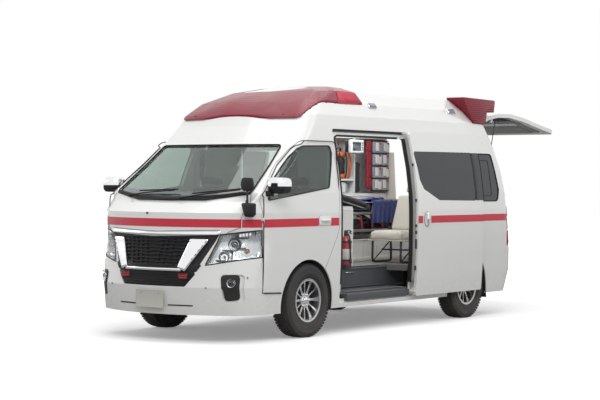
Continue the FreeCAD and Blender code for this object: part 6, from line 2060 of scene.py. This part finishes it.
@dataclass
class Doorway:
    """Step, floor edge, platform lines, cupboard fronts and rack doors seen through the doorway."""

    step: tuple[float, float] = (-1.370, -0.320)

    def build(self) -> None:
        """Dress the step, the platform and the walls."""
        y0, y1 = self.step
        floor = Skin("floor", "wheel_housings")
        face = max(floor.cast((0.92, y, 0.50), (-1, 0, 0)).x for y in (-1.2, -1.0, -0.8)) + 0.001
        tread = max(floor.cast((x, -1.0, 0.60), (0, 0, -1)).z for x in (face + 0.05, face + 0.10)) + 0.0005
        riser = Hand.box("step_riser", (face, y0 + 0.02, tread), (face + 0.012, y1 + 0.45, 0.604), 0.004)
        Hand.inset(riser, "x", 1, (0.020, 0.0), (0.004, -0.006))
        Hand.finish(riser, Finishes.step_slate, "floor_vinyl")
        bits = [Hand.tube("step_handle", [(face + 0.008, -0.95, 0.552), (face + 0.024, -0.95, 0.552),
                                          (face + 0.024, -0.80, 0.552), (face + 0.008, -0.80, 0.552)], 0.006,
                          sides=12)]
        ridges = [Hand.box(f"step_ridge_{k}", (face + 0.020 + 0.030 * k, y0 + 0.03, tread),
                           (face + 0.030 + 0.030 * k, y1 - 0.01, tread + 0.004), 0.0015) for k in range(7)]
        Hand.finish(Hand.join("step_ridges", ridges), Finishes.step_slate, "floor_vinyl")
        bits.append(Hand.box("floor_nosing", (face - 0.020, y0 + 0.02, 0.606), (face + 0.016, y1, 0.614), 0.003))
        Hand.finish(Hand.join("step_fittings", bits), Finishes.steel)
        mat = Hand.box("step_mat", (face + 0.014, y0 + 0.02, tread - 0.0005), (0.872, y1, tread + 0.0015), 0.0006)
        Hand.finish(mat, Finishes.step_slate, "floor_vinyl")
        under = Hand.box("sill_cover", (face, y0 + 0.01, 0.306), (0.922, y1 + 0.08, 0.372), 0.004)
        Hand.inset(under, "x", 1, (0.002, 0.002))
        Hand.finish(under, Finishes.step_slate, "floor_vinyl")
        lines = []
        for k in range(9):
            y = -0.62 + 0.25 * k
            lines.append(Hand.box(f"platform_line_{k}", (0.1095, y, 0.66), (0.1120, y + 0.004, 0.832), 0.0006))
        lines.append(Hand.box("platform_foot", (0.108, -0.70, 0.611), (0.118, 1.62, 0.655), 0.003))
        Hand.finish(Hand.join("platform_lines", lines), Finishes.lining_cream, "cabinet_white")
        trim = Hand.box("platform_edge", (0.104, -0.70, 0.832), (0.116, 1.62, 0.846), 0.003)
        Hand.inset(trim, "x", 1, (0.002, 0.001))
        Hand.finish(trim, Finishes.lining_cream, "cabinet_white")
        fronts = []
        for k in range(2):
            front = Hand.box(f"cupboard_front_{k}", (0.601, -1.362 + 0.285 * k, 0.640),
                             (0.612, -1.090 + 0.285 * k, 1.190), 0.004)
            Hand.inset(front, "x", 1, (0.014, -0.003))
            fronts.append(front)
        Hand.finish(Hand.join("cupboard_fronts", fronts), Finishes.cabinet_white)
        doors, knobs = [], []
        for k in range(4):
            y = 0.435 + 0.292 * k
            door = Hand.box(f"rack_door_{k}", (-0.5505, y, 0.850), (-0.541, y + 0.278, 1.310), 0.004)
            Hand.inset(door, "x", 1, (0.014, -0.003))
            doors.append(door)
            knobs.append(Hand.rod(f"rack_knob_{k}", (-0.541, y + 0.25, 1.08), (-0.526, y + 0.25, 1.08), 0.010, 18,
                                  0.013, 0.002))
        Hand.finish(Hand.join("rack_doors", doors), Finishes.cabinet_white)
        Hand.finish(Hand.join("rack_knobs", knobs), Finishes.pad_black)
        end = Hand.plate("rack_end_panel", [(-0.690, 1.602, 0.860), (-0.395, 1.602, 0.860), (-0.450, 1.602, 1.800),
                                            (-0.690, 1.602, 1.800)], (0, 0.005, 0), 0.002)
        Hand.finish(end, Finishes.lining_cream, "cabinet_white")


@dataclass
class Undercarriage:
    """The stretcher's folded legs, castors, boxes and hanging straps."""

    def build(self) -> None:
        """Fill the space between the platform and the litter's rails."""
        tubes, wheels = [], []
        for number, x in enumerate((-0.400, 0.052)):
            tubes.append(Hand.tube(f"under_rail_{number}", [(x, -0.30, 0.930), (x, -0.26, 0.905), (x, 1.36, 0.905),
                                                            (x, 1.40, 0.930)], 0.014, sides=14))
            tubes.append(Hand.rod(f"under_leg_a_{number}", (x, -0.20, 0.915), (x, 0.55, 1.095), 0.012, 14))
            tubes.append(Hand.rod(f"under_leg_b_{number}", (x, 0.10, 1.095), (x, 0.95, 0.915), 0.012, 14))
            tubes.append(Hand.rod(f"under_leg_c_{number}", (x, 0.85, 1.095), (x, 1.34, 0.915), 0.012, 14))
            for end, y in enumerate((-0.24, 1.34)):
                wheel = Hand.lathe(f"castor_{number}_{end}", [(x - 0.014, y, 0.868), (x - 0.012, y, 0.851),
                                                              (x - 0.006, y, 0.845), (x + 0.006, y, 0.845),
                                                              (x + 0.012, y, 0.851), (x + 0.014, y, 0.868)],
                                   (x, y, 0.890), (1, 0, 0), 28)
                wheels.append(wheel)
                tubes.append(Hand.ribbon(f"castor_fork_{number}_{end}", [(x + 0.018, y, 0.885), (x + 0.018, y, 0.945),
                                                                         (x - 0.018, y, 0.945), (x - 0.018, y, 0.885)],
                                         (0, 0.026, 0), 0.003))
        for k, y in enumerate((-0.20, 0.32, 0.84, 1.34)):
            tubes.append(Hand.rod(f"under_cross_{k}", (-0.400, y, 0.915 if k in (0, 3) else 1.00),
                                  (0.052, y, 0.915 if k in (0, 3) else 1.00), 0.011, 14))
        Hand.finish(Hand.join("under_tubes", tubes), Finishes.pad_black)
        Hand.finish(Hand.join("under_castors", wheels), Finishes.tyre_rubber)
        boxes = []
        for k, (y, z, length) in enumerate(((-0.02, 0.935, 0.30), (0.42, 0.925, 0.36), (0.95, 0.935, 0.26))):
            box = Hand.box(f"under_box_{k}", (-0.34, y, z), (0.036, y + length, z + 0.120), 0.02, 4)
            Hand.inset(box, "x", 1, (0.014, -0.004))
            boxes.append(box)
        Hand.finish(Hand.join("under_boxes", boxes), Finishes.pad_black)
        bands = []
        for k, y in enumerate((-0.16, 0.10, 0.30, 0.50, 0.70, 1.06)):
            line = [(0.080, y, 1.105), (0.088, y + 0.015, 1.02), (0.084, y + 0.030, 0.95), (0.066, y + 0.045, 0.908)]
            bands.append(Hand.ribbon(f"under_strap_{k}", line, (0, 0.036, 0), 0.003, bevel=0.0008))
        Hand.finish(Hand.join("under_straps", bands), Finishes.kit_mixed)


@dataclass
class Wheels:
    """Bolts, caps and valves of the wheels, and the tread of the tyres."""

    rim: float = 0.2025
    tyre: float = 0.3465
    width: float = 0.195
    blocks: int = 60

    def dress(self, end: str, label: str, sign: int, axle: float) -> None:
        """Detail one wheel and its tyre.

        Args:
            end: front or rear.
            label: left or right.
            sign: 1 on the left, -1 on the right.
            axle: place of the axle.
        """
        body = f"wheel_{end}_{label}"
        hub = Vector((sign * WHEEL_X, axle, HUB_Z))

        def at(across: float, radius: float, angle: float) -> Vector:
            """A place on the wheel."""
            return hub + Vector((sign * across, radius * math.cos(angle), radius * math.sin(angle)))

        cap = Hand.lathe(f"hub_cap_{end}_{label}", [at(0.066, 0.0, 0), at(0.066, 0.020, 0), at(0.062, 0.030, 0),
                                                    at(0.050, 0.036, 0), at(0.046, 0.036, 0)], hub, (1, 0, 0), 36)
        Hand.finish(cap, Finishes.chrome, body=body)
        nuts = [Hand.rod(f"nut_{k}", at(0.046, 0.056, math.pi * k / 3), at(0.060, 0.056, math.pi * k / 3), 0.0095, 6,
                         0.0085, 0.002) for k in range(6)]
        Hand.finish(Hand.join(f"nuts_{end}_{label}", nuts), Finishes.chrome, body=body)
        # A dark dish just behind the spokes: painted shadow in the depth of the wheel.
        dish = Hand.lathe(f"dish_{end}_{label}", [at(0.018, 0.060, 0), at(0.012, 0.075, 0), at(0.006, 0.120, 0),
                                                  at(0.010, 0.184, 0)], hub, (1, 0, 0), 48)
        Hand.apply(dish, "SOLIDIFY", thickness=0.003, offset=0)
        Hand.finish(dish, Finishes.shadow_gap, "chassis_black", body=body)
        spokes = []
        for k in range(12):
            turn = 2 * math.pi * k / 12
            outline = [at(0.0365, 0.068, turn - 0.20), at(0.0365, 0.068, turn + 0.20), at(0.038, 0.120, turn + 0.085),
                       at(0.040, 0.192, turn + 0.105), at(0.040, 0.192, turn - 0.105), at(0.038, 0.120, turn - 0.085)]
            if k % 2:
                outline = [at(0.0365, 0.068, turn - 0.10), at(0.0365, 0.068, turn + 0.10),
                           at(0.038, 0.120, turn + 0.05), at(0.040, 0.192, turn + 0.055),
                           at(0.040, 0.192, turn - 0.055), at(0.038, 0.120, turn - 0.05)]
            spokes.append(Hand.plate(f"spoke_{k}", outline, (sign * 0.006, 0, 0), 0.002))
        Hand.finish(Hand.join(f"spokes_{end}_{label}", spokes), Finishes.rim_alloy, body=body)
        lip = Hand.lathe(f"rim_lip_{end}_{label}", [at(0.082, 0.188, 0), at(0.086, 0.198, 0), at(0.086, 0.2045, 0),
                                                    at(0.080, 0.2065, 0), at(0.076, 0.2045, 0)], hub, (1, 0, 0), 64)
        Hand.finish(lip, Finishes.rim_alloy, body=body)
        valve = Hand.rod(f"valve_{end}_{label}", at(0.060, 0.176, 0.26), at(0.084, 0.170, 0.26), 0.0042, 12,
                         bevel=0.001)
        Hand.finish(valve, Finishes.black_trim, body=body)
        lines = []
        for radius in (0.232, 0.262, 0.300):
            lines.append(Hand.lathe(f"wall_line_{radius}", [at(0.0972, radius - 0.003, 0), at(0.0992, radius, 0),
                                                            at(0.0972, radius + 0.003, 0)], hub, (1, 0, 0), 72))
        tread = []
        for row, (across, length) in enumerate(((-0.074, 0.030), (-0.036, 0.028), (0.0, 0.026), (0.036, 0.028),
                                                (0.074, 0.030))):
            first = Hand.box(f"tread_{row}", (-length / 2, -0.0135, 0.0), (length / 2, 0.0135, 0.0045), 0.0012, 1)
            drop = 0.0065 if abs(across) > 0.05 else 0.0015
            for k in range(self.blocks):
                angle = 2 * math.pi * (k + 0.5 * (row % 2)) / self.blocks
                block = Hand.spare(first, f"tread_{row}_{k}")
                out = Vector((0, math.cos(angle), math.sin(angle)))
                side = Vector((1, 0, 0))
                turn = Matrix((side, out.cross(side), out)).transposed().to_4x4()
                block.data.transform(Matrix.Translation(hub + Vector((across, 0, 0)) + out * (self.tyre - drop))
                                     @ turn)
                tread.append(block)
            bpy.data.objects.remove(first)
        Hand.finish(Hand.join(f"tyre_detail_{end}_{label}", lines + tread), Finishes.tyre_rubber, body=body)

    def build(self) -> None:
        """Dress every wheel."""
        for label, sign in SIDES.items():
            for end, axle in (("front", FRONT_AXLE), ("rear", REAR_AXLE)):
                self.dress(end, label, sign, axle)


@dataclass
class TailgateTrim:
    """Lining, latch and grip of the tailgate, the rear plate and the bumper's tread."""

    def build(self) -> None:
        """Dress the tailgate and the rear opening."""
        gate = Skin("tailgate", "tailgate_glass")
        low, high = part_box("tailgate")
        panels = []
        for number, (x0, x1, y0, y1) in enumerate(((-0.60, 0.60, 2.66, 3.05), (-0.70, -0.62, 1.98, 3.02),
                                                   (0.62, 0.70, 1.98, 3.02))):
            outline = rounded([(x0, y0, 0.03), (x1, y0, 0.03), (x1, y1, 0.03), (x0, y1, 0.03)], 4)
            panels.append(Facing.panel(f"gate_lining_{number}", outline, lambda x, y: gate.cast(
                (x, y, low.z - 0.3), (0, 0, 1), 0.001), Vector((0, 0, -1)), 0.006, 0.10, bevel=0.002))
        Hand.finish(Hand.join("gate_lining", panels), Finishes.lining_grey, "cabinet_white", body="tailgate")
        catch = gate.cast((0, 3.06, low.z - 0.3), (0, 0, 1), 0.001)
        latch = Hand.box("gate_latch", (-0.045, 3.035, catch.z - 0.020), (0.045, 3.085, catch.z + 0.004), 0.005, 3)
        Hand.inset(latch, "z", -1, (0.008, -0.006))
        Hand.finish(latch, Finishes.steel, body="tailgate")
        outside = gate.cast((0, 2.90, high.z + 0.3), (0, 0, -1), 0.001)
        handle = Hand.box("gate_grip", (-0.30, 2.86, outside.z - 0.004), (0.30, 2.92, outside.z + 0.014), 0.006, 3)
        Hand.inset(handle, "z", 1, (0.010, -0.004))
        Hand.finish(handle, Finishes.body_paint, body="tailgate")
        tag = Hand.box("pillar_tag", (0.740, TAIL - 0.330, 1.560), (0.764, TAIL - 0.280, 1.690), 0.006, 3)
        Hand.inset(tag, "x", 1, (0.004, -0.001))
        Hand.finish(tag, Finishes.tag_yellow, "kit_mixed")
        x0, x1, z = -0.165, 0.165, 0.44
        rear = BODY.tail(0, z + 0.05)
        plate = Hand.box("rear_plate", (x0, rear.y + 0.004, z), (x1, rear.y + 0.008, z + 0.165), 0.0006, 2)
        Hand.inset(plate, "y", 1, (0.006, 0.0), (0.002, -0.0012))
        Hand.finish(plate, Finishes.plate_pale, "body_paint")
        step = [BODY.tail(-0.74 + 1.48 * k / 24, 0.600, 0.001) for k in range(25)]
        Hand.finish(Hand.ribbon("bumper_tread", step, (0, 0, -0.030), 0.004, bevel=0.001), Finishes.black_trim)


ASSEMBLIES = (FrontFace(), Stripe(), ShutLines(), DoorHandles(), Headlights(), RoofLamps(), TailLamps(),
              Mirrors(), Screen(), ArchTrim(), Stretcher(), Seats(), Kit(),
              SlidingDoorTrim(), Doorway(), Undercarriage(), Wheels(), TailgateTrim())


# ---------------------------------------------------------------- studio
@dataclass
class Studio:
    """Camera, lamps, floor and background."""

    place: Point = (9.919, -14.621, 1.455)
    yaw: float = 0.625
    pitch: float = 0.011
    roll: float = 0.006
    lens: float = 99.63
    floor_size: float = 90.0
    shadow_reach: tuple[float, float] = (3.2, 6.5)
    floor_tones: tuple[float, float] = (0.33, 0.93)
    sky: float = 0.44

    def camera(self) -> None:
        """Stand the camera where the vehicle is seen from its left front corner."""
        forward = Vector((-math.sin(self.yaw) * math.cos(self.pitch), math.cos(self.yaw) * math.cos(self.pitch),
                          -math.sin(self.pitch)))
        level = Vector((math.cos(self.yaw), math.sin(self.yaw), 0))
        upright = level.cross(forward)
        right = level * math.cos(self.roll) + upright * math.sin(self.roll)
        up = upright * math.cos(self.roll) - level * math.sin(self.roll)
        data = bpy.data.cameras.new("camera")
        data.lens = self.lens
        data.clip_end = 200
        camera = bpy.data.objects.new("camera", data)
        bpy.context.collection.objects.link(camera)
        camera.matrix_world = Matrix.Translation(self.place) @ Matrix((right, up, -forward)).transposed().to_4x4()
        bpy.context.scene.camera = camera

    def lamp(self, name: str, place: Point, aim: Point, size: tuple[float, float], power: float) -> None:
        """Hang one soft lamp.

        Args:
            name: name of the lamp.
            place: where it hangs.
            aim: what it points at.
            size: width and height of its face.
            power: how strong it is, in watts.
        """
        data = bpy.data.lights.new(name, "AREA")
        data.shape = "RECTANGLE"
        data.size, data.size_y = size
        data.energy = power
        lamp = bpy.data.objects.new(name, data)
        bpy.context.collection.objects.link(lamp)
        lamp.location = place
        lamp.rotation_euler = (Vector(aim) - Vector(place)).to_track_quat("-Z", "Y").to_euler()

    def world(self) -> None:
        """A soft grey sky that is white where it is seen or mirrored."""
        world = bpy.data.worlds.new("studio")
        bpy.context.scene.world = world
        world.use_nodes = True
        wires = Wiring(world.node_tree)
        rays = wires.add("LightPath").outputs
        seen = wires.math("MAXIMUM", rays["Is Camera Ray"], rays["Is Transmission Ray"])
        mirrored = wires.math("MAXIMUM", seen, rays["Is Glossy Ray"])
        strength = wires.add("MapRange", {"To Min": self.sky, "To Max": 1.0, "Value": mirrored})
        wires.feed(wires.nodes["Background"], {"Strength": strength.outputs["Result"], "Color": WHITE})

    def floor(self) -> None:
        """A plain pale floor that keeps the shadow."""
        Hand.clear()
        bpy.ops.mesh.primitive_plane_add(size=self.floor_size, location=(0, 0, 0))
        floor = bpy.context.object
        floor.name = "floor_plane"
        Hand.settle(floor)
        Hand.subdivide(floor, 3)
        material = bpy.data.materials.new("pale_floor")
        material.use_nodes = True
        wires = Wiring(material.node_tree)
        looked_at = wires.add("LightPath").outputs["Is Camera Ray"]
        lit, shown = ((tone, tone, tone, 1) for tone in self.floor_tones)
        tone = wires.add("Mix", {"Factor": looked_at, "A": lit, "B": shown}, data_type="RGBA")
        place = wires.add("TexCoord").outputs["Object"]
        noise = wires.add("TexNoise", {"Scale": 40, "Vector": place})
        bump = wires.add("Bump", {"Distance": 0.0005, "Height": noise.outputs["Fac"]})
        far = wires.add("VectorMath", {0: place}, operation="LENGTH").outputs["Value"]
        near_edge, far_edge = self.shadow_reach
        fade = wires.add("MapRange", {"From Min": near_edge, "From Max": far_edge, "To Min": 0.25, "To Max": 1.0,
                                      "Value": far})
        wires.feed(wires.nodes["Principled BSDF"], {"Base Color": tone.outputs["Result"], "Roughness": 0.9,
                                                    "Normal": bump.outputs["Normal"], "Emission Color": WHITE,
                                                    "Emission Strength": wires.math("MULTIPLY", fade.outputs["Result"],
                                                                                    looked_at)})
        floor.data.materials.append(material)

    def build(self) -> None:
        """Set the whole studio up."""
        self.camera()
        self.lamp("key", (6.5, -9.5, 8.5), (0, -0.8, 1.0), (7, 5), 510)
        self.lamp("side", (9.5, 1.5, 7.0), (0, -0.4, 1.0), (7, 4), 215)
        self.lamp("over", (0, 0, 9.5), (0, 0, 0), (9, 9), 380)
        self.lamp("fill", (-8.5, -5.0, 4.0), (0, 0, 1.2), (6, 4), 120)
        self.lamp("room", (0.1, 0.1, 2.26), (0.1, 0.1, 0.6), (1.0, 1.8), 26)
        self.world()
        self.floor()
        view = bpy.context.scene.view_settings
        view.view_transform = "Standard"


# ---------------------------------------------------------------- parts kept from the frame
KEPT = {
    "body_paint": ("roof", "front_bumper", "bonnet", "screen_frame", "rear_bumper", "side_panel_left",
                   "side_panel_right", "front_door_left", "front_door_right", "sliding_door", "tailgate"),
    "black_trim": ("grille", "door_rails", "door_mirror_left", "door_mirror_right", "corner_mirror", "wipers"),
    "headlight_lens": ("headlights",), "tail_lens": ("tail_lamps",), "beacon_lens": ("roof_beacons",),
    "screen_glass": ("windscreen",), "door_glass": ("front_door_glass_left", "front_door_glass_right"),
    "privacy_glass": ("side_windows", "sliding_door_glass", "tailgate_glass"),
    "chassis_black": ("chassis_frame", "wheel_housings", "rear_axle", "front_suspension", "knuckle_left",
                      "knuckle_right", "propeller_shaft", "fuel_tank"),
    "cast_engine": ("engine",), "floor_vinyl": ("floor",),
    "rim_alloy": ("wheel_front_left", "wheel_front_right", "wheel_rear_left", "wheel_rear_right"),
    "tyre_rubber": ("tyre_front_left", "tyre_front_right", "tyre_rear_left", "tyre_rear_right"),
    "steel": ("exhaust", "stretcher_frame"),
    "seat_vinyl": ("attendant_seat",), "cab_fabric": ("cab_seats",), "dash_plastic": ("dashboard",
                                                                                     "steering_wheel"),
    "cabinet_white": ("partition", "cabinets", "stretcher_platform"), "blanket_blue": ("blanket",),
    "pad_black": ("stretcher_mattress", "strut_cylinder_left", "strut_cylinder_right",
                  "strut_rod_left", "strut_rod_right"),
    "kit_mixed": ("equipment",),
}


def dress_frame() -> None:
    """Give every CAD node its own finish."""
    for finish_name, names in KEPT.items():
        material = getattr(Finishes, finish_name).material()
        for name in names:
            node = frame["nodes"][name]
            if not node.material_slots:
                node.data.materials.append(material)
            for place in node.material_slots:
                place.material = material


def corners(box: Sequence[Sequence[float]]) -> list[list[float]]:
    """A box's two corners as plain numbers."""
    return [[float(value) for value in corner] for corner in box]


def main() -> None:
    """Build every sub-assembly in order, then the studio."""
    logging.basicConfig(level=logging.INFO, format="%(name)s %(message)s")
    dress_frame()
    for assembly in ASSEMBLIES:
        LOG.info("building %s", type(assembly).__name__)
        assembly.build()
    Studio().build()


if __name__ == "__main__":
    main()
